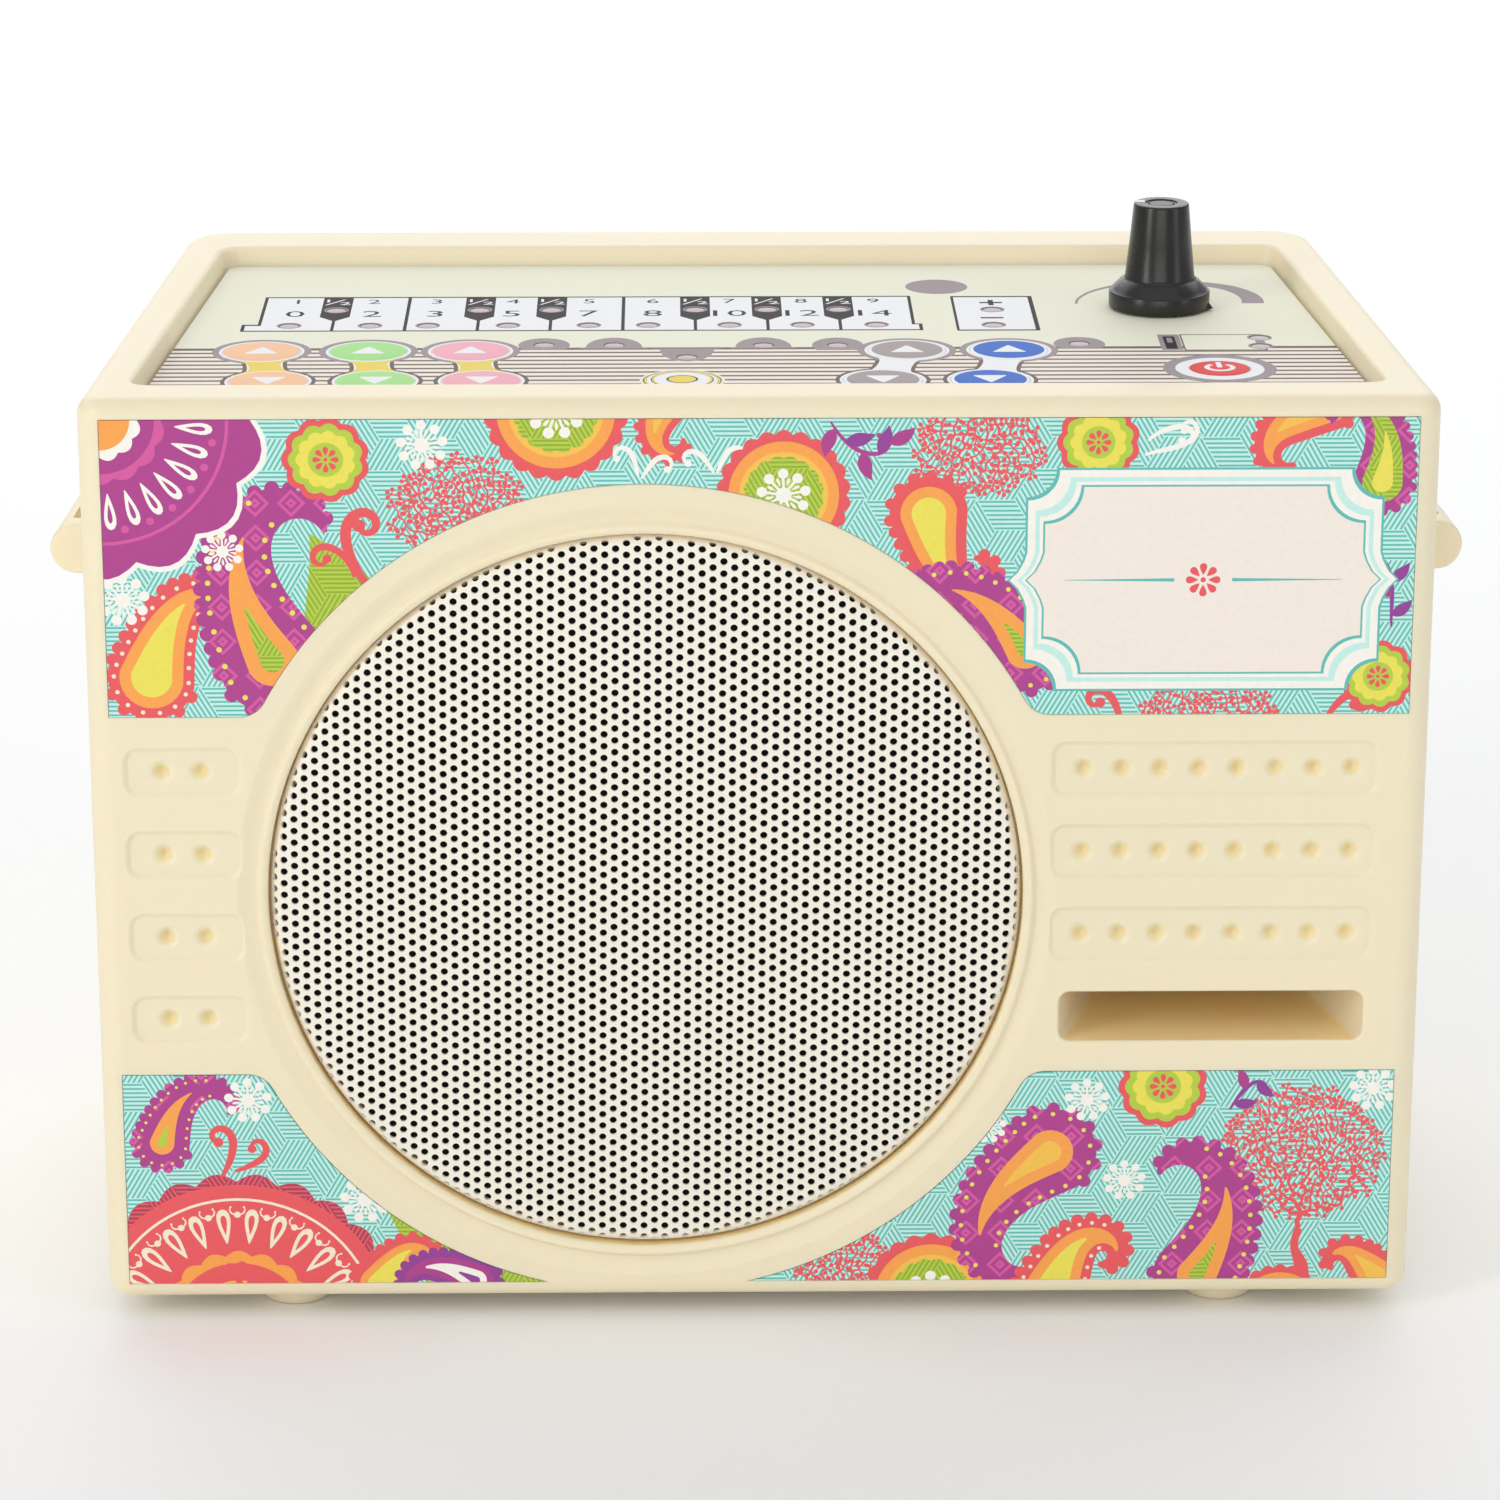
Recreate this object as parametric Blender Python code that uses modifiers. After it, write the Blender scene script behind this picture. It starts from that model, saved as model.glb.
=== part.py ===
"""Electronic tanpura: a moulded case with a speaker, a keypad panel on top and the parts inside.

Run with blender --background --python part.py, or from Blender's text editor.
Lengths are written in millimetres and turned into metres by MM. The origin is the middle of the
footprint on the surface that the feet stand on. X is to the right, the front faces -Y and Z is up.
"""

import math

import bmesh
import bpy
from mathutils import Matrix, Vector

MM = 0.001

# Case
WIDTH_FRONT = 235.0
WIDTH_REAR = 216.0
DEPTH = 132.0
HEIGHT = 167.0
FOOT_HEIGHT = 4.0
FRONT_CORNER = 4.5
REAR_CORNER = 9.0
EDGE_ROUND = 3.2
WALL = 2.6
INNER_CORNER = 2.5
GAP = 0.3

# Control panel, with heights above the underside of the case
PANEL_TOP = HEIGHT - 3.5
PANEL_THICK = 2.0
PANEL_FRONT = 13.0
PANEL_REAR = 115.6
PANEL_HALF_FRONT = 107.6
PANEL_HALF_REAR = 99.2
PANEL_CORNER = 3.0
RECESS_SPREAD = 1.2
LEDGE_TOP = PANEL_TOP - PANEL_THICK - GAP
LEDGE_THICK = 2.4
LEDGE_WIDTH = 4.5
CAVITY_TOP = LEDGE_TOP - LEDGE_THICK

# Speaker and grille, with distances behind the front face
SPEAKER_X = -20.0
SPEAKER_Z = 76.5
GRILLE_RADIUS = 66.1
RING_RADIUS = 68.6
SEAT_DEPTH = 3.6
BOSS_DEPTH = 9.0
BOSS_RADIUS = 70.0
MOUTH_RADIUS = 54.0
GRILLE_SHEET = 0.9
GRILLE_DOME = 0.8
GRILLE_PITCH = 13.0
GRILLE_HOLE = 4.2
GRILLE_BORDER = 6.0
CLOTH_THICK = 0.4
SPEAKER_SCREW_RADIUS = 59.6
SPEAKER_SCREW_ANGLES = (45.0, 135.0, 225.0, 315.0)

# Turned parts of the speaker: radius and distance behind their front
BASKET_FLANGE = 1.2
BASKET_DEPTH = 36.0
BASKET = ((64.0, 0.0), (64.0, BASKET_FLANGE), (55.6, BASKET_FLANGE), (54.0, 8.0), (34.0, 34.0),
          (30.0, BASKET_DEPTH), (15.0, BASKET_DEPTH), (15.0, 34.8), (29.4, 34.8), (33.0, 33.2), (52.8, 7.4),
          (54.4, 0.0))
BASKET_WINDOW = ((-15.0, 11.0, 20.0), (15.0, 31.0, 62.0))
CONE = ((0.0, 22.0), (7.0, 23.2), (13.0, 27.0), (46.0, 3.0), (49.5, 1.4), (53.0, 3.4), (52.6, 4.4),
        (49.6, 2.4), (46.4, 4.2), (14.0, 28.2), (14.0, 33.0), (0.0, 33.0))
MAGNET = ((0.0, 0.0), (31.0, 0.0), (31.0, 3.0), (35.0, 3.0), (35.0, 15.0), (31.0, 15.0), (31.0, 18.0),
          (0.0, 18.0))

# Printed label fields on the front
FIELD_HALF = 113.2
FIELD_DEPTH = 0.8
FIELD_ARC = 75.5
FIELD_CORNER = 5.0
UPPER_FIELD = (110.2, 163.6)
LOWER_FIELD = (3.2, 43.5)
LABEL_THICK = 0.4

# Moulded panels with round dimples beside the grille
PILL_CENTRES = (100.1, 84.8, 69.4, 54.0)
PILL_DEPTH = 0.35
LEFT_PILL = (-110.7, -90.8, 8.4)
RIGHT_PILL = (51.3, 108.0, 9.7)
LEFT_DIMPLES = (-104.4, -97.6)
RIGHT_DIMPLE_START = 56.6
DIMPLE_PITCH = 6.72
RIGHT_DIMPLE_COUNT = 8
DIMPLE_RADIUS = 1.75
DIMPLE_DEPTH = 0.7
DIMPLE_FACES = 7
PILL_CORNER = 2.4

# Sound port
PORT_X = 80.1
PORT_Z = 53.9
PORT_MOUTH = (54.0, 9.3)
PORT_THROAT = (36.0, 6.4)
PORT_LENGTH = 32.0
PORT_CORNER = 2.0
PORT_WALL = 2.2

# Keys: name, x, distance behind the front face, radius
KEY_RADIUS = 6.9
UP_ROW = 48.4
DOWN_ROW = 26.9
KEYS = (
    ("key_orange_up", -88.6, UP_ROW, KEY_RADIUS),
    ("key_orange_down", -86.0, DOWN_ROW, KEY_RADIUS),
    ("key_green_up", -69.5, UP_ROW, KEY_RADIUS),
    ("key_green_down", -67.2, DOWN_ROW, KEY_RADIUS),
    ("key_pink_up", -51.2, UP_ROW, KEY_RADIUS),
    ("key_pink_down", -48.6, DOWN_ROW, KEY_RADIUS),
    ("key_yellow", -13.3, DOWN_ROW, 6.2),
    ("key_grey_up", 27.1, UP_ROW, KEY_RADIUS),
    ("key_grey_down", 22.0, DOWN_ROW, KEY_RADIUS),
    ("key_blue_up", 45.4, UP_ROW, KEY_RADIUS),
    ("key_blue_down", 40.9, DOWN_ROW, KEY_RADIUS),
    ("key_power", 82.0, 34.4, 5.4),
)
KEY_COLOURS = {
    "key_orange": (0.94, 0.56, 0.34),
    "key_green": (0.46, 0.78, 0.33),
    "key_pink": (0.91, 0.46, 0.53),
    "key_yellow": (0.90, 0.62, 0.12),
    "key_grey": (0.38, 0.32, 0.32),
    "key_blue": (0.03, 0.15, 0.58),
    "key_power": (0.76, 0.07, 0.07),
}
KEY_PROUD = 0.25
KEY_FLANGE = 0.9
KEY_BASE = 1.6
KEY_SIDES = 14

# Keyboard drawing on the panel, which places the lamps
KEYBOARD_LEFT = -90.3
KEYBOARD_RIGHT = 29.0
WHITE_KEYS = 9
HALF_KEY_AFTER = (0, 2, 3, 5, 6, 7)
WHITE_LAMP_SHIFT = (-1.3, 0.2, -2.5, -1.1, 0.4, -2.0, -0.4, -0.3, 0.0)
WHITE_LAMP_Y = 67.9
HALF_LAMP_Y = 80.0
OCTAVE_LAMPS = ((44.2, 79.4), (43.8, 67.5))
STATUS_LAMPS = ((-38.1, 53.1), (-25.5, 52.9), (-12.4, 43.9), (1.4, 52.6), (14.8, 52.5), (58.4, 53.2))
BATTERY_LAMPS = ((91.4, 57.3), (91.0, 51.0))
LAMP_RADIUS = 1.8

# Tone control
KNOB_X = 75.2
KNOB_Y = 81.0
KNOB_SKIRT = 9.33
KNOB_HEIGHT = 19.5
KNOB_ROOM = 10.0
CAP_DEPTH = 1.2
SOCKET_FLOOR = 3.2
SHAFT_RADIUS = 3.0
SHAFT_TAIL = 2.4
BUSHING_RADIUS = 3.5
BUSHING_TOP = 2.8
POT_RADIUS = 8.0
POT_DEPTH = 8.0
NUT_RADIUS = 6.4
NUT_TOP = 2.2

# Keypad board
BOARD_TOP = 158.0
BOARD_THICK = 1.6
DOME_RADIUS = 4.0
DOME_HEIGHT = 0.9
STAKE_RADIUS = 1.4
PANEL_BOSSES = ((-84.0, 103.0), (60.0, 103.0), (-30.0, 24.0), (62.0, 24.0))
PANEL_BOSS_RADIUS = 3.0
BOARD_OUTLINE = ((-98.5, 19.0), (98.5, 19.0), (92.0, 111.0), (-92.0, 111.0))

# Sheet that carries the lamps' lenses, with two windows that leave room for the keys' bases
LAMP_SHEET = (BOARD_TOP + GAP, BOARD_TOP + GAP + 0.5)
LAMP_SHEET_OUTLINE = ((-97.5, 20.0), (97.5, 20.0), (91.0, 110.0), (-91.0, 110.0))
LAMP_SHEET_WINDOWS = (((-95.0, 21.0), (-42.0, 21.0), (-44.0, 55.0), (-95.0, 55.0)),
                      ((16.0, 21.0), (47.5, 21.0), (52.0, 42.0), (52.0, 55.0), (21.0, 55.0), (16.0, 36.0)))
LONE_KEYS = ("key_yellow", "key_power")
SHEET_CORNER = 3.0
LAMP_DROP = 0.1

# Back cover
COVER_THICK = 2.5
COVER_HALF = 94.0
COVER_LOW = 9.0
COVER_HIGH = 152.0
COVER_CORNER = 4.0
COVER_SCREWS = ((-89.5, 13.5), (0.0, 13.5), (89.5, 13.5), (-89.5, 147.5), (0.0, 147.5), (89.5, 147.5))
REAR_LEDGE = 9.0
REAR_FRAME_LAP = 3.0
REAR_FRAME_THICK = 2.4
SCREW_HOLE = 1.7
HEAD_RADIUS = 2.6
AIR_SLOT = (46.0, 3.0)
AIR_SLOT_X = (-32.0, 32.0)
AIR_SLOT_ROWS = (108.0, 115.0, 122.0, 129.0, 136.0)

# Sockets in the rear: name, place in x and height, radius, bore
SOCKETS = (("dc_socket", (62.0, 24.0), 5.7, 3.2), ("line_out_socket", (40.0, 24.0), 4.7, 1.8))
SOCKET_ROOM = 0.5
SOCKET_LENGTH = 13.6
SOCKET_BORE_DEPTH = 9.0

# Main board on the floor of the case: left, right, front, rear
MAIN_BOARD = (-10.0, 92.0, 72.0, 120.0)
MAIN_BOARD_Z = 9.0
MAIN_BOARD_SCREWS = ((-4.5, 115.0), (86.5, 77.5))
POST_RADIUS = 3.2
POST_BORE = 1.6
CHIPS = (((20.0, 84.0), (44.0, 96.0)), ((52.0, 100.0), (62.0, 110.0)))
CHIP_HEIGHT = 2.6

# Capacitors on the board: x, distance behind the front face, radius, height
CAPACITORS = ((10.0, 82.0, 4.0, 11.0), (10.0, 94.0, 4.0, 11.0), (74.0, 102.0, 5.0, 16.0))
HEAT_SINK = ((50.0, 76.0), (66.0, 79.0))
HEAT_SINK_HEIGHT = 18.0
FIN = (1.2, 78.5, 90.0)
FIN_PITCH = 4.2
FIN_COUNT = 4

# Rechargeable pack of two cells that lie across the floor
PACK_X = -65.0
PACK_DEPTH = 93.0
CELL_HALF = 33.0
CELL_RADIUS = 9.2
CELL_EDGE = 0.8

# Leads: name, radius, route
LEAD_END = MAIN_BOARD_Z + BOARD_THICK + 1.0
LEADS = (
    ("keypad_lead", 1.6,
     ((84.0, 98.0, LEAD_END), (88.0, 104.0, 40.0), (86.0, 108.0, 110.0), (80.0, 105.0, 155.4))),
    ("speaker_lead", 0.9,
     ((0.0, 104.0, LEAD_END), (4.0, 100.0, 30.0), (20.0, 62.0, 50.0), (20.0, 37.0, 60.0))),
    ("battery_lead", 0.9,
     ((-6.0, 90.0, LEAD_END), (-16.0, 90.0, 16.0), (-24.0, 88.0, 14.0), (-31.0, 86.0, 12.5))),
)

# Strap lugs on the sides and feet below
LUG_START = 27.0
LUG_LENGTH = 30.0
LUG_OUT = 10.0
LUG_THICK = 9.0
LUG_Z = 132.8
LUG_BASE = 1.5
LUG_SLOT = (21.0, 5.2)
LUG_SLOT_CORNER = 1.6
FOOT_RADIUS = 6.8
FEET = (("foot_front_left", -84.0, 13.0), ("foot_front_right", 84.0, 13.0),
        ("foot_rear_left", -80.0, 116.0), ("foot_rear_right", 80.0, 116.0))

# Finishes: colour, roughness, metallic
FINISHES = {
    "cream_plastic": ((0.84, 0.75, 0.54), 0.4, 0.0),
    "panel_film": ((0.86, 0.86, 0.72), 0.45, 0.0),
    "lamp_lens": ((0.26, 0.13, 0.15), 0.2, 0.0),
    "green_board": ((0.02, 0.16, 0.07), 0.5, 0.0),
    "painted_steel": ((0.88, 0.84, 0.74), 0.4, 0.0),
    "black_cloth": ((0.012, 0.012, 0.014), 0.95, 0.0),
    "speaker_frame": ((0.06, 0.06, 0.065), 0.5, 0.6),
    "paper_cone": ((0.03, 0.03, 0.032), 0.9, 0.0),
    "ferrite": ((0.05, 0.05, 0.052), 0.7, 0.0),
    "black_plastic": ((0.012, 0.012, 0.014), 0.35, 0.0),
    "knob_cap": ((0.12, 0.115, 0.12), 0.4, 0.0),
    "zinc_steel": ((0.62, 0.62, 0.64), 0.35, 1.0),
    "pot_metal": ((0.62, 0.62, 0.64), 0.45, 1.0),
    "aluminium": ((0.7, 0.7, 0.72), 0.4, 1.0),
    "cell_wrap": ((0.05, 0.2, 0.45), 0.4, 0.0),
    "lead_cover": ((0.35, 0.03, 0.03), 0.5, 0.0),
    "foot_rubber": ((0.80, 0.72, 0.52), 0.7, 0.0),
    "printed_label": ((0.49, 0.83, 0.70), 0.4, 0.0),
}

PART = "electronic_tanpura"
CUTTERS = "cutters"

collections = {}
made_materials = {}


def clear_scene():
    """Removes what the scene holds and makes one collection for the parts and one for cutters."""
    for obj in list(bpy.data.objects):
        bpy.data.objects.remove(obj, do_unlink=True)
    for name in (PART, CUTTERS):
        collection = bpy.data.collections.new(name)
        bpy.context.scene.collection.children.link(collection)
        collections[name] = collection


def material(name, colour, roughness, metallic=0.0):
    """A Principled BSDF of one colour."""
    made = bpy.data.materials.new(name)
    made.use_nodes = True
    shader = made.node_tree.nodes["Principled BSDF"]
    shader.inputs["Base Color"].default_value = (*colour, 1.0)
    shader.inputs["Roughness"].default_value = roughness
    shader.inputs["Metallic"].default_value = metallic
    return made


def finish_of(name):
    """One of the finishes, made when it is first asked for."""
    if name not in made_materials:
        made_materials[name] = material(name, *FINISHES[name])
    return made_materials[name]


def world(x, depth, height):
    """A point in metres, from x, a distance behind the front face and a height above the case's underside."""
    return Vector((x * MM, (depth - DEPTH / 2) * MM, (height + FOOT_HEIGHT) * MM))


def side_x(depth):
    """Half the case's width at a distance behind the front face."""
    return (WIDTH_FRONT + (WIDTH_REAR - WIDTH_FRONT) * depth / DEPTH) / 2


def arc(centre, radius, start, end, steps):
    """Points along an arc, with angles in degrees."""
    points = []
    for step in range(steps + 1):
        angle = math.radians(start + (end - start) * step / steps)
        points.append((centre[0] + radius * math.cos(angle), centre[1] + radius * math.sin(angle)))
    return points


def rounded(corners, radii, steps=4):
    """A closed outline through corners, each rounded by its radius."""
    outline = []
    count = len(corners)
    for index, corner in enumerate(corners):
        point = Vector(corner)
        before = (Vector(corners[index - 1]) - point).normalized()
        after = (Vector(corners[(index + 1) % count]) - point).normalized()
        half = before.angle(after) / 2
        reach = radii[index] / math.tan(half)
        centre = point + (before + after).normalized() * radii[index] / math.sin(half)
        first = point + before * reach - centre
        last = point + after * reach - centre
        turn = first.angle_signed(last)
        for step in range(steps + 1):
            spoke = first.copy()
            spoke.rotate(Matrix.Rotation(-turn * step / steps, 2))
            outline.append(tuple(centre + spoke))
    return outline


def rectangle(width, height, radius, centre=(0.0, 0.0), steps=4):
    """A rounded rectangle."""
    left, right = centre[0] - width / 2, centre[0] + width / 2
    low, high = centre[1] - height / 2, centre[1] + height / 2
    corners = [(left, low), (right, low), (right, high), (left, high)]
    return rounded(corners, [radius] * 4, steps)


def new_object(name, mesh, kind=PART, finish=None):
    """Links a mesh as a part or as a cutter."""
    obj = bpy.data.objects.new(name, mesh)
    collections[kind].objects.link(obj)
    if kind == CUTTERS:
        obj.hide_render = True
        obj.display_type = "WIRE"
    if finish is not None:
        mesh.materials.clear()
        mesh.materials.append(finish)
    return obj


def evaluated_mesh(obj):
    """The mesh that an object's curve or modifiers give, in world space."""
    bpy.context.view_layer.update()
    graph = bpy.context.evaluated_depsgraph_get()
    mesh = bpy.data.meshes.new_from_object(obj.evaluated_get(graph))
    mesh.transform(obj.matrix_world)
    return mesh


def clean_mesh(mesh, turn_out=True):
    """Welds loose caps, joins flat faces and, on a plain solid, points the faces out."""
    work = bmesh.new()
    work.from_mesh(mesh)
    bmesh.ops.remove_doubles(work, verts=work.verts, dist=0.002 * MM)
    bmesh.ops.dissolve_limit(work, angle_limit=math.radians(0.05), verts=work.verts, edges=work.edges)
    if turn_out:
        bmesh.ops.recalc_face_normals(work, faces=work.faces)
    work.to_mesh(mesh)
    work.free()


def plate(name, outlines, thickness, matrix, kind=PART, finish=None):
    """A flat plate from filled 2D outlines in millimetres, with its middle plane at the matrix."""
    curve = bpy.data.curves.new(name, "CURVE")
    curve.dimensions = "2D"
    curve.fill_mode = "BOTH"
    curve.extrude = thickness / 2 * MM
    for outline in outlines:
        spline = curve.splines.new("POLY")
        spline.points.add(len(outline) - 1)
        for point, place in zip(spline.points, outline):
            point.co = (place[0] * MM, place[1] * MM, 0.0, 1.0)
        spline.use_cyclic_u = True
    drawn = bpy.data.objects.new(name, curve)
    bpy.context.scene.collection.objects.link(drawn)
    drawn.matrix_world = matrix
    mesh = evaluated_mesh(drawn)
    bpy.data.objects.remove(drawn, do_unlink=True)
    bpy.data.curves.remove(curve)
    clean_mesh(mesh)
    mesh.name = name
    return new_object(name, mesh, kind, finish)


def level(low, high, name, outlines, kind=PART, finish=None):
    """A plate lying flat between two heights. Outlines are x and distance behind the front face."""
    middle = world(0.0, 0.0, (low + high) / 2)
    return plate(name, outlines, high - low, Matrix.Translation(middle), kind, finish)


def upright(near, far, name, outlines, kind=PART, finish=None):
    """A plate facing the front, between two distances behind it. Outlines are x and height."""
    middle = world(0.0, (near + far) / 2, 0.0)
    matrix = Matrix.Translation(middle) @ Matrix.Rotation(math.radians(90), 4, "X")
    return plate(name, outlines, far - near, matrix, kind, finish)


def turned(name, profile, place, segments=32, kind=PART, finish=None, facing="up"):
    """A turned solid. The profile is radius and height, down the outer side from top to bottom.

    A profile that starts and ends on the axis is solid. One that doesn't is closed into a ring.
    With facing set to front, the profile's height is a distance towards the front.
    """
    ring = profile[0][0] > 0.0
    mesh = bpy.data.meshes.new(name)
    points = [(radius * MM, 0.0, height * MM) for radius, height in profile]
    edges = [(index, index + 1) for index in range(len(points) - 1)]
    if ring:
        edges.append((len(points) - 1, 0))
    mesh.from_pydata(points, edges, [])
    obj = new_object(name, mesh, kind)
    screw = obj.modifiers.new("Turn", "SCREW")
    screw.axis = "Z"
    screw.angle = math.radians(360)
    screw.steps = segments
    screw.render_steps = segments
    screw.use_merge_vertices = True
    screw.merge_threshold = 0.00001
    screw.use_smooth_shade = True
    if facing == "front":
        obj.rotation_euler = (math.radians(90), 0.0, 0.0)
    baked = evaluated_mesh(obj)
    bpy.data.objects.remove(obj, do_unlink=True)
    bpy.data.meshes.remove(mesh)
    work = bmesh.new()
    work.from_mesh(baked)
    bmesh.ops.remove_doubles(work, verts=work.verts, dist=0.002 * MM)
    bmesh.ops.recalc_face_normals(work, faces=work.faces)
    work.to_mesh(baked)
    work.free()
    baked.name = name
    baked.shade_smooth()
    baked.set_sharp_from_angle(angle=math.radians(35))
    made = new_object(name, baked, kind, finish)
    made.location = place
    return made


def box(name, low, high, kind=PART, finish=None, matrix=None):
    """A box between two corners in millimetres: x, distance behind the front face and height."""
    first, last = world(*low), world(*high)
    work = bmesh.new()
    bmesh.ops.create_cube(work, size=1.0)
    size = last - first
    bmesh.ops.scale(work, vec=size, verts=work.verts)
    bmesh.ops.translate(work, vec=(first + last) / 2, verts=work.verts)
    if matrix is not None:
        bmesh.ops.transform(work, matrix=matrix, verts=work.verts)
    bmesh.ops.recalc_face_normals(work, faces=work.faces)
    mesh = bpy.data.meshes.new(name)
    work.to_mesh(mesh)
    work.free()
    return new_object(name, mesh, kind, finish)


def join(name, objects, kind=PART, finish=None):
    """Puts several solids into one object. They stay separate bodies."""
    work = bmesh.new()
    for obj in objects:
        mesh = evaluated_mesh(obj)
        work.from_mesh(mesh)
        bpy.data.meshes.remove(mesh)
        bpy.data.objects.remove(obj, do_unlink=True)
    mesh = bpy.data.meshes.new(name)
    work.to_mesh(mesh)
    work.free()
    return new_object(name, mesh, kind, finish)


def combine(obj, tool, operation="DIFFERENCE"):
    """Cuts an object with a tool, or joins the tool to it."""
    modifier = obj.modifiers.new(tool.name, "BOOLEAN")
    modifier.operation = operation
    modifier.solver = "EXACT"
    modifier.object = tool
    if operation == "UNION":
        settle(obj)
        bpy.data.objects.remove(tool, do_unlink=True)


def settle(obj):
    """Applies the modifiers, joins the flat faces that they split and keeps the object's one material."""
    finish = obj.data.materials[0] if obj.data.materials else None
    mesh = evaluated_mesh(obj)
    obj.modifiers.clear()
    obj.data = mesh
    obj.matrix_world = Matrix.Identity(4)
    clean_mesh(mesh, turn_out=False)
    mesh.materials.clear()
    if finish is not None:
        mesh.materials.append(finish)
    smooth(obj)


def round_edges(obj, width, segments):
    """Rounds the edges that are sharper than 50 degrees."""
    modifier = obj.modifiers.new("Round", "BEVEL")
    modifier.width = width * MM
    modifier.segments = segments
    modifier.limit_method = "ANGLE"
    modifier.angle_limit = math.radians(50)
    modifier.use_clamp_overlap = False


def smooth(obj, angle=35.0):
    """Shades the faces of a mesh smooth up to an angle."""
    obj.data.shade_smooth()
    obj.data.set_sharp_from_angle(angle=math.radians(angle))


def case_outline(inset, front, rear, corner_front, corner_rear):
    """The case seen from above: a trapezium with its corners rounded."""
    corners = [(-side_x(front) + inset, front), (side_x(front) - inset, front),
               (side_x(rear) - inset, rear), (-side_x(rear) + inset, rear)]
    return rounded(corners, [corner_front, corner_front, corner_rear, corner_rear])


def panel_outline(inset):
    """The control panel seen from above."""
    front, rear = PANEL_FRONT + inset, PANEL_REAR - inset
    corners = [(-PANEL_HALF_FRONT + inset, front), (PANEL_HALF_FRONT - inset, front),
               (PANEL_HALF_REAR - inset, rear), (-PANEL_HALF_REAR + inset, rear)]
    return rounded(corners, [PANEL_CORNER] * 4)


def cover_outline(grow):
    """The rear cover seen from behind, grown on all sides."""
    width = 2 * (COVER_HALF + grow)
    height = COVER_HIGH - COVER_LOW + 2 * grow
    return rectangle(width, height, COVER_CORNER, (0.0, (COVER_LOW + COVER_HIGH) / 2))


def arc_corner(height, inner, side, shrink):
    """Where a level edge meets the arc around the grille: the fillet's centre and its far angle.

    The edge is at a height, the label lies above it when inner is 1 and below it when inner is -1,
    and side is -1 left of the grille and 1 right of it.
    """
    rise = height + inner * (FIELD_CORNER - shrink) - SPEAKER_Z
    reach = FIELD_ARC + FIELD_CORNER
    run = math.sqrt(reach * reach - rise * rise)
    centre = (SPEAKER_X + side * run, SPEAKER_Z + rise)
    towards = math.degrees(math.atan2(-rise, -side * run))
    return centre, towards


def upper_field(shrink):
    """Outline of the band above the grille, x and height."""
    low, high = UPPER_FIELD[0] + shrink, UPPER_FIELD[1] - shrink
    half = FIELD_HALF - shrink
    round_by = FIELD_CORNER - shrink
    left, left_angle = arc_corner(low, 1, -1, shrink)
    right, right_angle = arc_corner(low, 1, 1, shrink)
    start = math.degrees(math.atan2(right[1] - SPEAKER_Z, right[0] - SPEAKER_X))
    outline = [(half, low), (half, high), (-half, high), (-half, low)]
    outline += arc(left, round_by, -90.0, left_angle, 2)
    outline += arc((SPEAKER_X, SPEAKER_Z), FIELD_ARC + shrink, 180.0 - start, start, 16)[1:-1]
    outline += arc(right, round_by, right_angle, -90.0, 2)
    return outline


def lower_field(side, shrink):
    """Outline of the corner below the grille on one side, x and height."""
    low, high = LOWER_FIELD[0] + shrink, LOWER_FIELD[1] - shrink
    half = FIELD_HALF - shrink
    centre, towards = arc_corner(high, -1, side, shrink)
    drop = SPEAKER_Z - low
    tip = math.degrees(math.asin(drop / (FIELD_ARC + shrink)))
    meet = math.degrees(math.asin((SPEAKER_Z - centre[1]) / (FIELD_ARC + FIELD_CORNER)))
    outline = [(side * half, high)]
    turn = towards if side > 0 else 180.0 - towards
    fillet = arc((0.0, 0.0), FIELD_CORNER - shrink, 90.0, turn % 360.0, 2)
    outline += [(centre[0] + side * x, centre[1] + z) for x, z in fillet]
    sweep = arc((0.0, 0.0), FIELD_ARC + shrink, -meet, -tip, 8)
    outline += [(SPEAKER_X + side * x, SPEAKER_Z + z) for x, z in sweep[1:]]
    outline.append((side * half, low))
    return outline


def port_cutter(name, grow):
    """The tapering channel of the sound port, or its outer block."""
    near = -1.0 if grow == 0.0 else 1.5
    far = PORT_LENGTH + (3.0 if grow == 0.0 else 0.0)
    mouth = rectangle(PORT_MOUTH[0] + 2 * grow, PORT_MOUTH[1] + 2 * grow, PORT_CORNER + grow, steps=3)
    channel = upright(near, far, name, [mouth], CUTTERS)
    ratio_x = (PORT_THROAT[0] + 2 * grow) / (PORT_MOUTH[0] + 2 * grow)
    ratio_z = (PORT_THROAT[1] + 2 * grow) / (PORT_MOUTH[1] + 2 * grow)
    rear = world(0.0, far, 0.0).y
    base = world(0.0, 0.0, 0.0).z
    for vertex in channel.data.vertices:
        height = vertex.co.z - base
        if abs(vertex.co.y - rear) < 0.1 * MM:
            vertex.co.x *= ratio_x
            height *= ratio_z
        vertex.co.x += PORT_X * MM
        vertex.co.z = height + base + PORT_Z * MM
    return channel


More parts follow.
